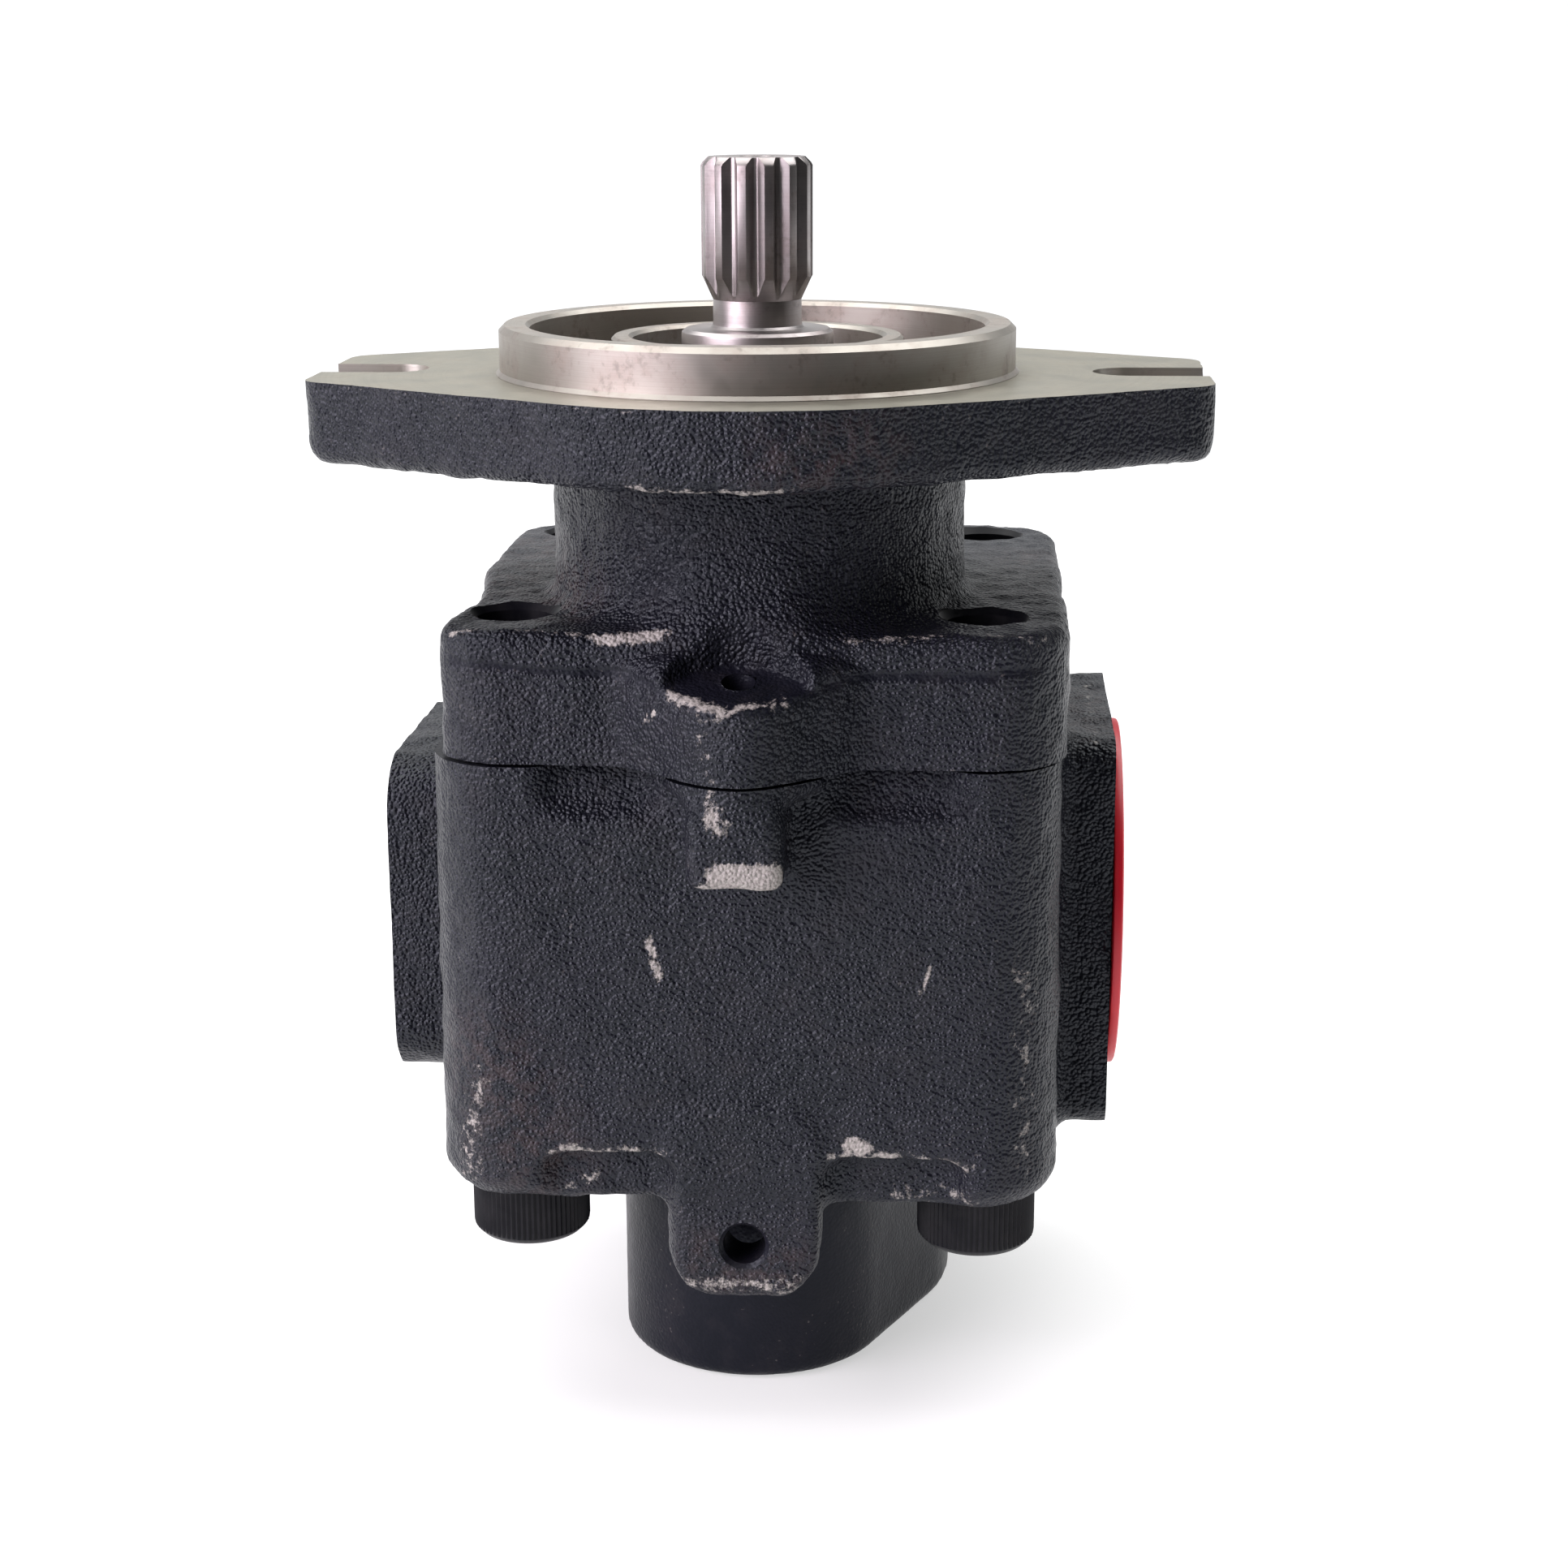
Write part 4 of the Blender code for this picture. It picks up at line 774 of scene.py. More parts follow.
def build_cover_core():
    """The turned heart of the cover: pilot ring, recess and seal boss."""
    f = FACE
    profile = [
        (16.5, f - 20.0), (16.5, f - 8.0), (24.75, f - 8.0), (24.75, f + 0.3), (26.25, f + 0.3),
        (26.25, f + 2.5), (24.75, f + 2.5), (24.75, f + 6.3), (25.45, f + 7.0), (28.2, f + 7.0),
        (28.8, f + 6.4), (28.8, f - 8.0), (29.2, f - 8.8), (30.0, f - 9.0), (43.2, f - 9.0),
        (44.4, f - 8.6), (PILOT_BORE, f - 7.6), (PILOT_BORE, f + 8.7), (45.56, PILOT_TOP),
        (49.7, PILOT_TOP), (PILOT_RADIUS, f + 8.4), (PILOT_RADIUS, f + 0.9), (51.5, f + 0.12),
        (51.5, f + 0.03), (48.9, f + 0.03), (48.9, f - 12.8), (18.9, f - 12.8), (18.9, f - 20.0),
    ]
    return with_material(turned("front_cover_pilot", profile, 256, smooth_angle=TURNED_ANGLE), turned_iron)


def tapped_profile(radius):
    """A threaded hole's profile from its bottom up to the face at 0."""
    crests = []
    for turn in range(12):
        crests += [(radius, -19.0 + 1.5 * turn), (radius - 0.7, -18.25 + 1.5 * turn)]
    return [(0, -20.0)] + crests + [(radius, -1.0), (radius + 0.8, 0.0), (radius + 0.8, 6), (0, 6)]


def build_housing():
    step = 1.0
    low = (OUTLET_X - 6.0, LUG_FRONT - 3.0, -3.0)
    high = (INLET_X + 6.0, BODY_BACK + 3.0, JOINT + 5.0)
    x, y, z = grid_of(low, high, step)
    flat = outline_distance(rectangle(-60.9, 60.7, -45.7, BODY_BACK - 0.4, 15.0), x, y)
    draft = np.clip((JOINT - z) / (JOINT - BODY_REAR), 0, 1) * 0.8
    body = slab(flat - draft, z, BODY_REAR, JOINT + 6.0, 6.8, 1.0)
    for side, face_x, half_width, half_height, pad_corner in (
        (1, INLET_X, 35.0, 40.7, 6.0), (-1, -OUTLET_X, 33.0, 34.0, 12.0),
    ):
        pad_outline = rectangle(
            PORT_Y - half_width, PORT_Y + half_width, PORT_Z - half_height, PORT_Z + half_height, pad_corner
        )
        pad_flat = outline_in_yz(pad_outline, y, z)
        across = side * x
        pad = meet_round(pad_flat + 0.0 * x, across - face_x - 3.0, 1.5)
        pad = np.maximum(pad, 30.0 - across)
        body = join_round(body, pad, 3.6)
    rib_flat = outline_distance(rectangle(-9.3, 8.8, LUG_FRONT, -30.0, 3.4), x, y)
    lug_flat = lug_distance(x, y)
    share = np.clip((z - (JOINT - 6.5)) / 5.6, 0, 1)
    share = share * share * (3 - 2 * share)
    rib = rib_flat * (1 - share) + lug_flat * share
    rib = meet_round(rib, (JOINT - 19.0) - z, 1.6)
    body = join_round(body, rib, 3.0 * (1 - share) + 0.02)
    ends = [(-1.0, 0.0, 28.3), (4.0, 28.0, 35.8)]
    boss_flat = outline_distance(hull_outline(ends, 40), x, y)
    boss = slab(boss_flat, z, 0.0, BODY_REAR + 10, 2.6, 1.0)
    body = join_round(body, boss, 4.0)
    tab_low, tab_high, tab_corner = TAB_LOW + 9.8, BODY_REAR + 12, 9.6
    tab_corners = [(-5.9, tab_low), (5.5, tab_low), (5.5, tab_high), (-5.9, tab_high)]
    tab_outline = hull_outline([(px, pz, tab_corner) for px, pz in tab_corners], 12)
    tab = meet_round(outline_in_xz(tab_outline, x, z) + 0.0 * y, np.abs(y + 41.2) - 5.4, 1.5)
    body = join_round(body, tab, 2.6)
    for low_x, high_x in ((-40.0, -13.5), (15.5, 44.0)):
        span = (low_x + high_x) / 2
        half = (high_x - low_x) / 2
        depth = 2.4 + 0.2 * np.clip(z - JOINT + 9.0, 0, 10)
        inward = np.maximum(y - BODY_FRONT, 0)
        ends = (np.abs(x - span) - half + 1.5 * inward) * 0.55
        upper = meet_round(ends, (np.abs(z - JOINT) - 9.8 + 0.7 * inward) * 0.8, 3.0)
        upper = meet_round(upper, y - BODY_FRONT - depth, 1.5)
        body = cut_round(body, upper, 1.3)
        ends = (np.abs(x - span) - half + 0.8 * inward) * 0.78
        lower = meet_round(ends, z - BODY_REAR - 11.0, 4.0)
        lower = meet_round(lower, y + 42.2, 1.5)
        body = cut_round(body, lower, 1.6)
    rough = unevenness(body.shape, step, ((12.0, 0.13), (4.0, 0.07), (1.6, 0.05)), seed=23)
    on_boss = np.clip((BODY_REAR - 1.0 - z) / 2.0, 0, 1) * np.clip((y + 33.0) / 2.0, 0, 1)
    body = body + rough * (1 - 0.85 * on_boss)
    inside_box = np.maximum(np.maximum(LUG_FRONT + 0.05 - y, y - BODY_BACK + 0.05), 0.02 - z + 0.0 * x)
    body = np.maximum(body, inside_box)
    obj = surface("gear_housing_casting", body, low, step)
    points = vertex_array(obj.data) / MM
    below = np.clip((BODY_REAR - 1.5 - points[:, 2]) / 2.0, 0, 1)
    store(obj.data, "smooth", below * np.clip((points[:, 1] + 35.0) / 2.0, 0, 1))
    chips = marks_from(JOINT, [
        ((-2.5, LUG_FRONT, -16.6), (7.4, LUG_FRONT, -16.6), 4.4, 1.9),
        ((-8, LUG_FRONT, -19), (8, LUG_FRONT, -19), 2.2, 1.2),
        ((-5, LUG_FRONT, -2), (-3, LUG_FRONT, -7), 4.2, 0.9),
        ((-18, -46, -34), (-16, -46, -41), 2.2, 1.0),
    ])
    chips += marks_from(BODY_REAR, [
        ((-52, -45, 26), (-55, -43, 6), 7.0, 0.62), ((-36, -44, 2), (-30, -43, 5), 3.0, 0.8),
        ((30, -43, 2), (44, -44, 3), 4.0, 0.75), ((21, -46, 14.5), (24, -46, 13.5), 3.0, 1.35),
        ((15, -46, 12), (30, -46, 12), 2.2, 0.8), ((-38, -46, 11.5), (-14, -46, 11.5), 2.4, 0.72),
        ((-36, -46, 12.5), (-34, -46, 12.5), 2.0, 1.1), ((-24, -46, 12.0), (-21, -46, 12.0), 2.0, 1.0),
        ((30, -46, 11.5), (44, -46, 10), 3.4, 0.75), ((36, -46, 51), (34.5, -46, 46), 1.2, 0.95),
        ((-55, -42, 60), (-56, -42, 30), 5.0, 0.3), ((55, -44, 50), (55, -44, 10), 7.0, 0.55),
    ])
    chips += marks_from(TAB_LOW, [((-13, -47, 3), (13, -47, 3), 4.2, 0.72)])
    chips += marks_from(PORT_Z, [
        ((INLET_X - 4, -12, 40), (INLET_X - 4, 40, 40), 4.0, 0.55),
        ((OUTLET_X + 2, -8, -30), (OUTLET_X + 2, -8, 20), 3.0, 0.5),
    ])
    rusty = marks_from(PORT_Z, [((INLET_X - 6, 0, 38), (INLET_X - 6, 30, 38), 14)])
    rusty += marks_from(BODY_REAR, [((-50, -44, 30), (-40, -44, 8), 16)])
    rusty += marks_from(TAB_LOW, [((-6, -48, 8), (8, -48, 6), 10)])
    wear_marks(obj, chips, rusty)
    with_material(obj, casting)
    cutters = [with_material(half_space("cut_top", JOINT, JOINT + 30), casting_smooth)]
    for owner, py in (("drive", 0.0), ("driven", DRIVEN_Y)):
        chamber = rod(f"cut_{owner}_chamber", CHAMBER_RADIUS, CHAMBER_FLOOR, JOINT + 9, (0, py), 128)
        bore = rod(f"cut_{owner}_bore", BEARING_BORE, REAR_BORE, CHAMBER_FLOOR + 5, (0, py), 96)
        cutters += [with_material(chamber, bored), with_material(bore, bored)]
    for side, face_x, bore, spacing_z, spacing_y, tapped in (
        ("inlet", INLET_X, 15.9, 58.7, 30.2, 4.8),
        ("outlet", OUTLET_X, 12.7, 52.4, 26.2, 4.1),
    ):
        plane = prism(f"cut_{side}_plane", rectangle(-60, 60, -70, 70, 2), 0.0, 12.0)
        cutters.append(with_material(lay_along_x(plane, face_x, PORT_Y, PORT_Z), faced))
        depth = abs(face_x) - 14.0
        hole = turned(
            f"cut_{side}_port",
            [(0, -depth), (bore, -depth), (bore, -1.1), (bore + 1.0, -0.2), (bore + 1.0, 6), (0, 6)],
            96,
        )
        cutters.append(with_material(lay_along_x(hole, face_x, PORT_Y, PORT_Z), bored))
        for z_sign in (-1, 1):
            for y_sign in (-1, 1):
                hole = turned(f"cut_{side}_thread_{z_sign + 1}_{y_sign + 1}", tapped_profile(tapped), 40)
                place_y = PORT_Y + y_sign * spacing_y / 2
                place_z = PORT_Z + z_sign * spacing_z / 2
                cutters.append(with_material(lay_along_x(hole, face_x, place_y, place_z), small_steel))
    tab_hole = turned(
        "cut_tab_hole",
        [(0, -52), (5.0, -52), (5.0, -46.5), (4.2, -45.6), (4.2, -30), (0, -30)],
        48,
    )
    cutters.append(with_material(lay_along_y(tab_hole, 0.0, TAB_HOLE), casting_smooth))
    for index, (px, py) in enumerate(SCREWS.values()):
        seat = [
            (0, BODY_REAR - 22), (13.0, BODY_REAR - 22), (13.0, SCREW_SEAT + GAP),
            (8.24, SCREW_SEAT + GAP), (8.24, JOINT + 4), (0, JOINT + 4),
        ]
        cutters.append(with_material(turned(f"cut_seat_{index}", seat, 72, (px, py)), bored))
    return split_normals(combine(obj, cutters), CASTING_ANGLE)


def fit(piece, body, node=None):
    """Hangs a piece on its body and lets it stand for a CAD node."""
    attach(piece, body)
    if node:
        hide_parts(node)


fit(build_cover(), "pump_body", "front_cover")
fit(build_cover_core(), "pump_body")
fit(build_housing(), "pump_body", "gear_housing")


# ------------------------------------------------------------------ shafts

TEETH = 10
PITCH_RADIUS = DRIVEN_Y / 2
PRESSURE = radians(28.0)
BASE_RADIUS = PITCH_RADIUS * cos(PRESSURE)
GEAR_TIP = PITCH_RADIUS * 1.2
GEAR_ROOT = 16.1
GEAR_LOW = corner("thrust_plate_rear", 1, 2) + GAP
GEAR_HIGH = corner("thrust_plate_front", 0, 2) - GAP
SPLINE_TEETH, SPLINE_TIP, SPLINE_ROOT = 13, 10.9, 9.2
SPLINE_LOW = FACE + 14.0
SPLINE_TURN = radians(93.0)


def involute(radius):
    roll = acos(min(BASE_RADIUS / radius, 1.0))
    return tan(roll) - roll


def gear_outline(turn, steps=9):
    half_tooth = pi / (2 * TEETH) - 0.1 / PITCH_RADIUS + involute(PITCH_RADIUS)
    outline = []
    for tooth in range(TEETH):
        centre = turn + tau * tooth / TEETH
        flank = [(GEAR_ROOT, half_tooth + 0.02), (GEAR_ROOT + 0.5, half_tooth)]
        for step in range(steps + 1):
            radius = BASE_RADIUS + (GEAR_TIP - BASE_RADIUS) * step / steps
            flank.append((radius, half_tooth - involute(radius)))
        outline += [(radius, centre - angle) for radius, angle in flank]
        outline += [(radius, centre + angle) for radius, angle in flank[::-1]]
    return [(radius * cos(angle), radius * sin(angle)) for radius, angle in outline]


def gear(name, turn, at):
    return with_material(prism(name, gear_outline(turn), GEAR_LOW, GEAR_HIGH, at), gear_steel)


def spline_outline():
    """Flat-topped teeth with slanting flanks and a small round at each root."""
    pitch = tau / SPLINE_TEETH
    outline = []
    for tooth in range(SPLINE_TEETH):
        centre = SPLINE_TURN + pitch * tooth
        for radius, share in (
            (SPLINE_ROOT, -0.43), (SPLINE_ROOT + 0.12, -0.385), (SPLINE_TIP, -0.165),
            (SPLINE_TIP + 0.6, -0.14), (SPLINE_TIP + 0.6, 0.14), (SPLINE_TIP, 0.165),
            (SPLINE_ROOT + 0.12, 0.385), (SPLINE_ROOT, 0.43),
        ):
            angle = centre + share * pitch
            outline.append((radius * cos(angle), radius * sin(angle)))
    return outline


def soften_edges(obj, width, angle=32.0, segments=2):
    modifier = obj.modifiers.new("soft_edges", "BEVEL")
    modifier.width = width * MM
    modifier.segments = segments
    modifier.limit_method = "ANGLE"
    modifier.angle_limit = radians(angle)
    modifier.harden_normals = False
    return split_normals(apply_modifiers(obj), 60.0)


def journal_profile():
    """What both shafts share: the centred rear end, the rear journal and the waist under the gear."""
    return [
        (0, SHAFT_LOW), (2.0, SHAFT_LOW), (2.6, SHAFT_LOW + 3.0), (3.6, SHAFT_LOW), (13.8, SHAFT_LOW),
        (15.0, SHAFT_LOW + 1.2), (15.0, GEAR_LOW - 1.2), (14.7, GEAR_LOW - 1.0), (14.7, GEAR_LOW + 2),
        (15.4, GEAR_LOW + 2), (15.4, GEAR_HIGH - 2), (14.7, GEAR_HIGH - 2), (14.7, GEAR_HIGH + 1.0),
        (15.0, GEAR_HIGH + 1.2),
    ]


def build_drive_shaft():
    """Returns the journal shaft with its gear, and the splined end."""
    f = FACE
    profile = journal_profile() + [
        (15.0, f + 7.3), (14.9, f + 7.7), (14.1, f + 8.3), (9.9, f + 8.3), (9.2, f + 8.5),
        (8.8, f + 9.0), (8.7, f + 9.7), (8.7, f + 15.0), (8.5, f + 16.0), (8.5, SHAFT_END - 4.0),
        (0, SHAFT_END - 4.0),
    ]
    shaft = with_material(turned("drive_shaft_body", profile, 192, smooth_angle=TURNED_ANGLE), shaft_steel)
    combine(shaft, [gear("drive_gear", pi / 2, (0, 0))], "UNION", "EXACT")
    split_normals(shaft, TURNED_ANGLE)
    spline = prism("drive_shaft_spline", spline_outline(), SPLINE_LOW - 0.4, SHAFT_END + 1)
    envelope = turned(
        "spline_envelope",
        [
            (0, SPLINE_LOW - 0.2), (8.62, SPLINE_LOW - 0.2), (SPLINE_TIP - 0.35, SPLINE_LOW + 3.9),
            (SPLINE_TIP, SPLINE_LOW + 4.5), (SPLINE_TIP, SHAFT_END - 1.7),
            (SPLINE_TIP - 0.3, SHAFT_END - 1.15), (SPLINE_TIP - 1.45, SHAFT_END), (3.4, SHAFT_END),
            (3.0, SHAFT_END - 0.8), (2.0, SHAFT_END - 2.4), (0, SHAFT_END - 3.6),
        ],
        208,
        smooth_angle=TURNED_ANGLE,
    )
    with_material(spline, shaft_steel)
    with_material(envelope, shaft_steel)
    combine(spline, [envelope], "INTERSECT", "EXACT")
    soften_edges(spline, 0.13, 34.0)
    return shaft, spline


def build_driven_shaft():
    high = corner("driven_gear_shaft", 1, 2)
    profile = journal_profile() + [
        (15.0, high - 1.2), (13.8, high), (3.6, high), (2.6, high - 3.0), (0, high - 3.4),
    ]
    shaft = turned("driven_shaft_body", profile, 160, (0, DRIVEN_Y), smooth_angle=TURNED_ANGLE)
    with_material(shaft, gear_steel)
    teeth = gear("driven_gear", -pi / 2 + pi / TEETH, (0, DRIVEN_Y))
    return split_normals(combine(shaft, [teeth], "UNION", "EXACT"), TURNED_ANGLE)


shaft_body, shaft_spline = build_drive_shaft()
fit(shaft_body, "drive_shaft", "drive_gear_shaft")
fit(shaft_spline, "drive_shaft")
fit(build_driven_shaft(), "driven_shaft", "driven_gear_shaft")


# ------------------------------------------------------------------ screws

THREAD_PITCH = 2.309
THREAD_CREST, THREAD_DEPTH, THREAD_CORE = 7.17, 1.0, 6.4
THREAD_LENGTH = 38.0
SOCKET_RADIUS = 7.33
KNURLS = 66


def build_screw(name, at):
    """A knurled socket-head cap screw, head down."""
    head_top = SCREW_SEAT
    thread_low = SCREW_TIP - 40.0
    radius = SCREW_HEAD_RADIUS
    profile = [
        (0, SCREW_LOW), (radius - 2.2, SCREW_LOW), (radius - 1.3, SCREW_LOW + 0.35),
        (radius - 0.45, SCREW_LOW + 1.2), (radius - 0.12, SCREW_LOW + 1.6), (radius, SCREW_LOW + 2.4),
        (radius, head_top - 1.6), (radius - 0.12, head_top - 1.2), (radius - 0.4, head_top - 1.0),
        (radius - 0.4, head_top), (8.6, head_top), (7.94, head_top + 0.5), (7.94, thread_low - 2.0),
        (THREAD_CORE, thread_low - 0.8),
    ]
    rows = int(THREAD_LENGTH / THREAD_PITCH * 8)
    profile += [(THREAD_CORE, thread_low + THREAD_LENGTH * i / rows) for i in range(rows + 1)]
    profile += [(5.6, SCREW_TIP - 0.5), (5.0, SCREW_TIP), (0, SCREW_TIP)]

    def wave(angles, r, height):
        if r >= radius - 0.13:
            saw = np.abs((angles * KNURLS / tau) % 1.0 - 0.5) * 2.0
            depth = 0.36 if r >= radius - 0.01 else 0.10
            return r - depth * saw
        if r == THREAD_CORE and thread_low <= height <= thread_low + THREAD_LENGTH:
            phase = ((height - thread_low) / THREAD_PITCH - angles / tau) % 1.0
            ridge = 1.0 - np.abs(phase - 0.5) * 2.0
            ends = min(1.0, (height - thread_low) / 2.0, (thread_low + 38.6 - height) / 2.0)
            return THREAD_CREST - THREAD_DEPTH * (1.0 - np.clip(ridge * 1.25 - 0.1, 0, 1) * ends)
        return np.full_like(angles, float(r))

    screw = turned(name + "_knurled", profile, KNURLS * 4, at, wave, smooth_angle=KNURL_ANGLE)
    with_material(screw, black_steel)
    corners = [pi / 3 * i + 0.3 for i in range(6)]
    socket = [(SOCKET_RADIUS * cos(angle), SOCKET_RADIUS * sin(angle)) for angle in corners]
    hollow = with_material(prism("cut_socket", socket, SCREW_LOW - 3, SCREW_LOW + 8, at), black_steel)
    chamfer = [(0, -3), (7.9, -3), (7.9, -0.01), (6.6, 0.8), (0, 0.8)]
    lead = turned("cut_lead", [(r, SCREW_LOW + height) for r, height in chamfer], 96, at)
    tip = turned("cut_drill", [(0, SCREW_LOW + 7.9), (6.2, SCREW_LOW + 7.9), (0, SCREW_LOW + 10.2)], 48, at)
    for cutter in (lead, tip):
        with_material(cutter, black_steel)
    return split_normals(combine(screw, [hollow, lead, tip]), KNURL_ANGLE)


for screw_name, screw_at in SCREWS.items():
    fit(build_screw(screw_name, screw_at), "pump_body", screw_name)


# ------------------------------------------------------------------ plug, seal and circlip


def build_plug():
    """The red plug: a thin wide flange, a raised ring, and a cup with a grip bar for a stem."""
    rim = (corner("inlet_port_plug", 1, 1) - corner("inlet_port_plug", 0, 1)) / 2
    stem = 15.6
    face = PLUG_FACE - INLET_X
    profile = [(0, -16.0), (stem - 1.6, -16.0), (stem - 0.5, -15.4), (stem - 0.1, -14.2)]
    for ring in range(3):
        base = -12.6 + 3.6 * ring
        profile += [(stem - 0.35, base), (stem - 0.02, base + 0.7), (stem - 0.35, base + 1.6)]
    profile += [
        (stem - 0.2, 0.3), (rim - 0.5, 0.3), (rim - 0.12, 0.5), (rim, 0.9), (rim, face - 0.7),
        (rim - 0.15, face - 0.25), (rim - 0.6, face), (rim - 2.2, face), (rim - 2.8, face - 0.5),
        (22.6, face - 0.5), (22.0, face - 0.08), (20.0, face - 0.08), (19.4, face - 0.5),
        (15.2, face - 0.5), (14.2, face - 0.8), (13.7, face - 1.8), (13.2, -13.6), (12.4, -14.2),
        (0, -14.2),
    ]
    plug = with_material(turned("inlet_port_plug_moulded", profile, 144, smooth_angle=30), red_plastic)
    bar = prism("plug_grip", rectangle(-13.4, 13.4, -1.1, 1.1, 1.0), -14.6, -3.0)
    combine(plug, [with_material(bar, red_plastic)], "UNION", "EXACT")
    return lay_along_x(split_normals(plug, 30.0), INLET_X, PORT_Y, PORT_Z)


def build_seal_case():
    seat = FACE - 8.0
    profile = [
        (19.0, seat + 6.4), (22.6, seat + 6.4), (22.85, seat + 6.1), (22.85, seat + 0.3),
        (24.45, seat + 0.3), (24.45, seat + 7.3), (24.2, seat + 7.8), (23.7, seat + 8.0),
        (19.3, seat + 8.0), (19.0, seat + 7.8),
    ]
    return with_material(turned("shaft_seal_case_pressed", profile, 144), small_steel)


def build_seal_lip():
    low = FACE - 8.0 + GAP
    top = FACE
    profile = [
        (15.36, low + 1.2), (16.36, low), (17.4, low), (17.4, low + 1.2), (16.6, low + 1.2),
        (16.6, low + 3.4), (18.0, low + 3.8), (18.7, low + 5.0), (18.7, top - 0.4), (18.3, top - 0.05),
        (16.3, top), (15.6, top - 0.5), (15.36, top - 1.1), (15.96, top - 2.4),
    ]
    return with_material(turned("shaft_seal_lip_moulded", profile, 144), rubber)


def build_circlip():
    low = FACE + 0.6
    opening = asin(4.0 / 24.0)
    start, sweep = -pi / 2 + opening, tau - 2 * opening
    steps = 120
    outer, inner = [], []
    for i in range(steps + 1):
        share = i / steps
        angle = start + sweep * share
        from_end = min(share, 1 - share) * sweep
        body = 21.7 - 0.9 * sin(pi * share)
        lug = 18.4 + 8.0 * max(0.0, from_end - 0.17)
        reach = min(body, lug) if from_end < 0.6 else body
        outer.append((25.9 * cos(angle), 25.9 * sin(angle)))
        inner.append((reach * cos(angle), reach * sin(angle)))
    ring = prism("seal_circlip", outer + inner[::-1], low, low + 1.6)
    with_material(ring, small_steel)
    holes = []
    for side in (-1, 1):
        angle = -pi / 2 + side * (opening + 0.09)
        at = (20.6 * cos(angle), 20.6 * sin(angle))
        holes.append(with_material(rod(f"cut_lug_{side + 1}", 1.15, low - 2, low + 4, at, 32), small_steel))
    combine(ring, holes, "DIFFERENCE", "EXACT")
    return soften_edges(ring, 0.12, 40.0)


fit(build_plug(), "inlet_plug", "inlet_port_plug")
fit(build_seal_case(), "pump_body", "shaft_seal_case")
fit(build_seal_lip(), "pump_body", "shaft_seal_lip")
fit(build_circlip(), "pump_body", "seal_retaining_ring")

# The nodes inside the pump keep their solids and take a finish each.
KEPT = {
    bronze: tuple(
        f"{owner}_{end}" + kind
        for owner, kind in (("thrust_plate", ""), ("drive", "_bearing"), ("driven", "_bearing"))
        for end in ("front", "rear")
    ),
    rubber: ("thrust_plate_seal_front", "thrust_plate_seal_rear", "housing_face_seal"),
    small_steel: ("dowel_pin_left", "dowel_pin_right", "shaft_seal_garter_spring"),
}
for finish, names in KEPT.items():
    for each in names:
        with_material(NODES[each], finish)


# ------------------------------------------------------------------ floor, lights and camera


def build_floor():
    floor = object_from(
        "floor", [(-1500, -1400, 0), (1500, -1400, 0), (1500, 1300, 0), (-1500, 1300, 0)], [(0, 1, 2, 3)]
    )
    floor.location.z = -0.2 * MM
    f = Finish("pale_floor")
    depth = f.add("SEPARATE", {"Vector": f.millimetres}).outputs["Y"]
    cloud = f.ramp(f.noise(900.0, 2.0), 0.0, 1.0, 0.96, 1.0)
    # The floor glows, a painted light that lifts it to white and thins the shadow round the pump; towards
    # the front its colour darkens and its glow fades, painted shade that stands in for less light falling
    # there.
    glow_and_front_falloff = f.times(f.ramp(depth, -520.0, -130.0), cloud)
    f.shader.inputs["Emission Color"].default_value = (1, 1, 1, 1)
    f.shade(
        Base_Color=f.blend(glow_and_front_falloff, (0.22, 0.22, 0.23), (0.52, 0.52, 0.52)),
        Roughness=0.9,
        Emission_Strength=f.ramp(glow_and_front_falloff, 0.0, 1.0, 0.03, 0.55),
    )
    with_material(floor, f.material)


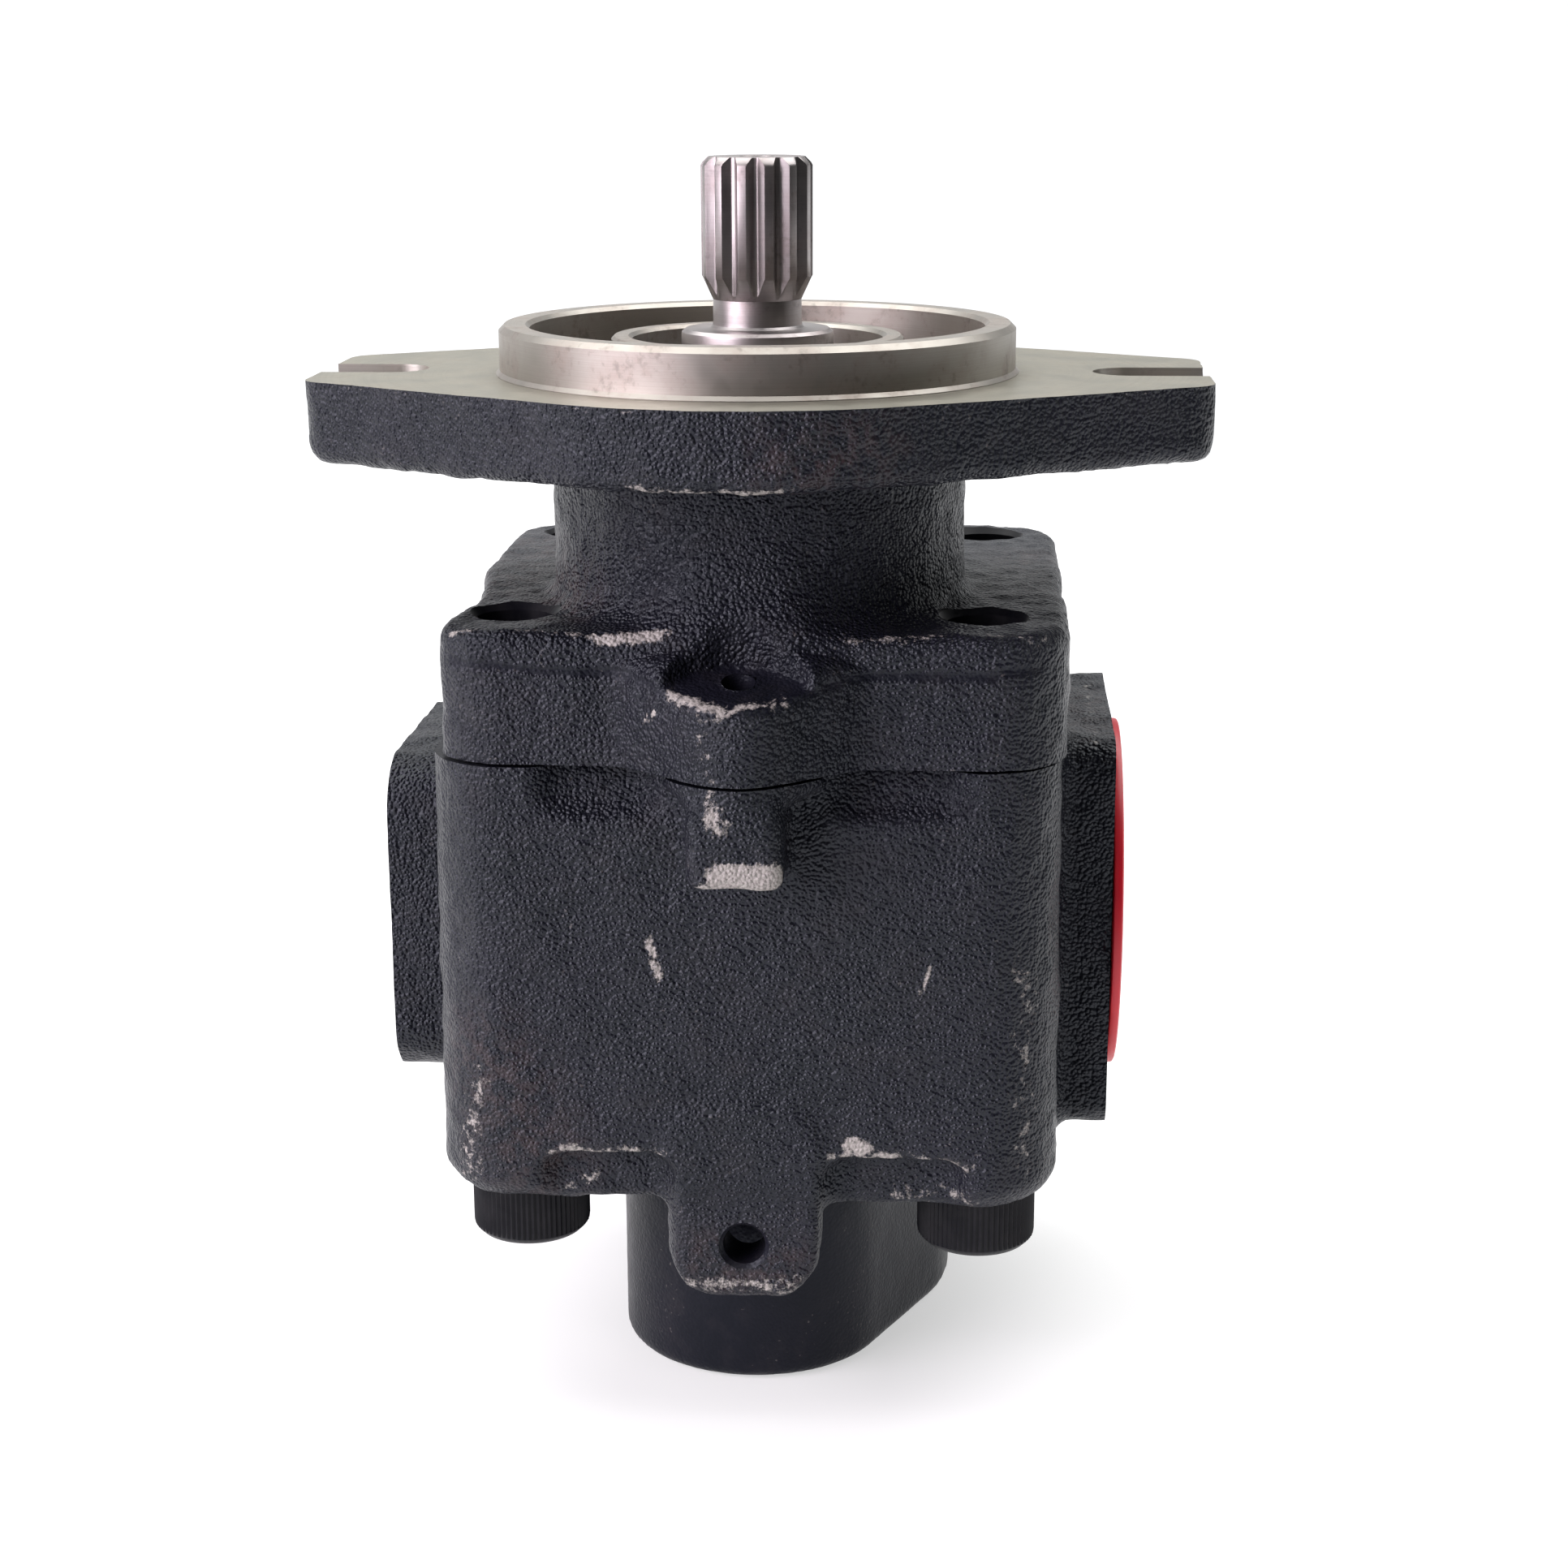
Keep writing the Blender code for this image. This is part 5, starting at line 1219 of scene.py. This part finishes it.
def build_world():
    """A studio round the pump: white behind it, dim on the left and dark on the right."""
    world = bpy.data.worlds.new("studio")
    bpy.context.scene.world = world
    world.use_nodes = True
    n = Nodes(world.node_tree)
    direction = n.add("SEPARATE", {"Vector": n.add("TEX_COORD").outputs["Generated"]})
    x, y, z = direction.outputs
    behind = n.times(n.ramp(y, -0.15, 0.62), n.ramp(z, 0.06, 0.24, 1.0, 0.25))
    left = n.ramp(x, 0.2, -0.9)
    strength = n.plus(n.times(behind, 1.0), n.times(left, 0.34))
    background = world.node_tree.nodes["Background"]
    n.set_input(background.inputs["Strength"], n.plus(strength, 0.03))
    background.inputs["Color"].default_value = (0.98, 0.99, 1.0, 1.0)


def softbox(name, place, aim, width, height, power, colour=(1, 1, 1)):
    """A soft rectangular lamp at place, in metres, that faces aim."""
    light = bpy.data.lights.new(name, "AREA")
    light.shape = "RECTANGLE"
    light.size = width
    light.size_y = height
    light.energy = power
    light.color = colour
    made = bpy.data.objects.new(name, light)
    made.location = place
    made.rotation_euler = (Vector(aim) - Vector(place)).to_track_quat("-Z", "Y").to_euler()
    bpy.context.scene.collection.objects.link(made)


build_floor()
build_world()
CENTRE = (0.0, 0.0, 0.16)
softbox("key", (-0.92, -0.68, 0.64), CENTRE, 1.05, 1.1, 23.0, (1.0, 0.90, 1.0))
softbox("overhead", (0.0, 0.62, 1.5), (0.0, 0.62, 0.0), 2.6, 1.9, 56.0)

camera_data = bpy.data.cameras.new("camera")
camera_data.lens = 61.47
camera_data.sensor_width = 36.0
camera_data.clip_start = 0.01
camera_data.clip_end = 50.0
camera = bpy.data.objects.new("camera", camera_data)
bpy.context.scene.collection.objects.link(camera)
yaw, pitch, roll = radians(4.08), radians(15.17), radians(-0.19)
forward = Vector((-sin(yaw) * cos(pitch), cos(yaw) * cos(pitch), -sin(pitch)))
right = Vector((cos(yaw), sin(yaw), 0.0))
up = right.cross(forward)
right, up = cos(roll) * right + sin(roll) * up, cos(roll) * up - sin(roll) * right
camera.matrix_world = Matrix.Translation((0.0428, -0.5309, 0.0595 + FACE * MM)) @ Matrix(
    (right, up, -forward)
).transposed().to_4x4()
bpy.context.scene.camera = camera
bpy.context.scene.view_settings.view_transform = "Standard"
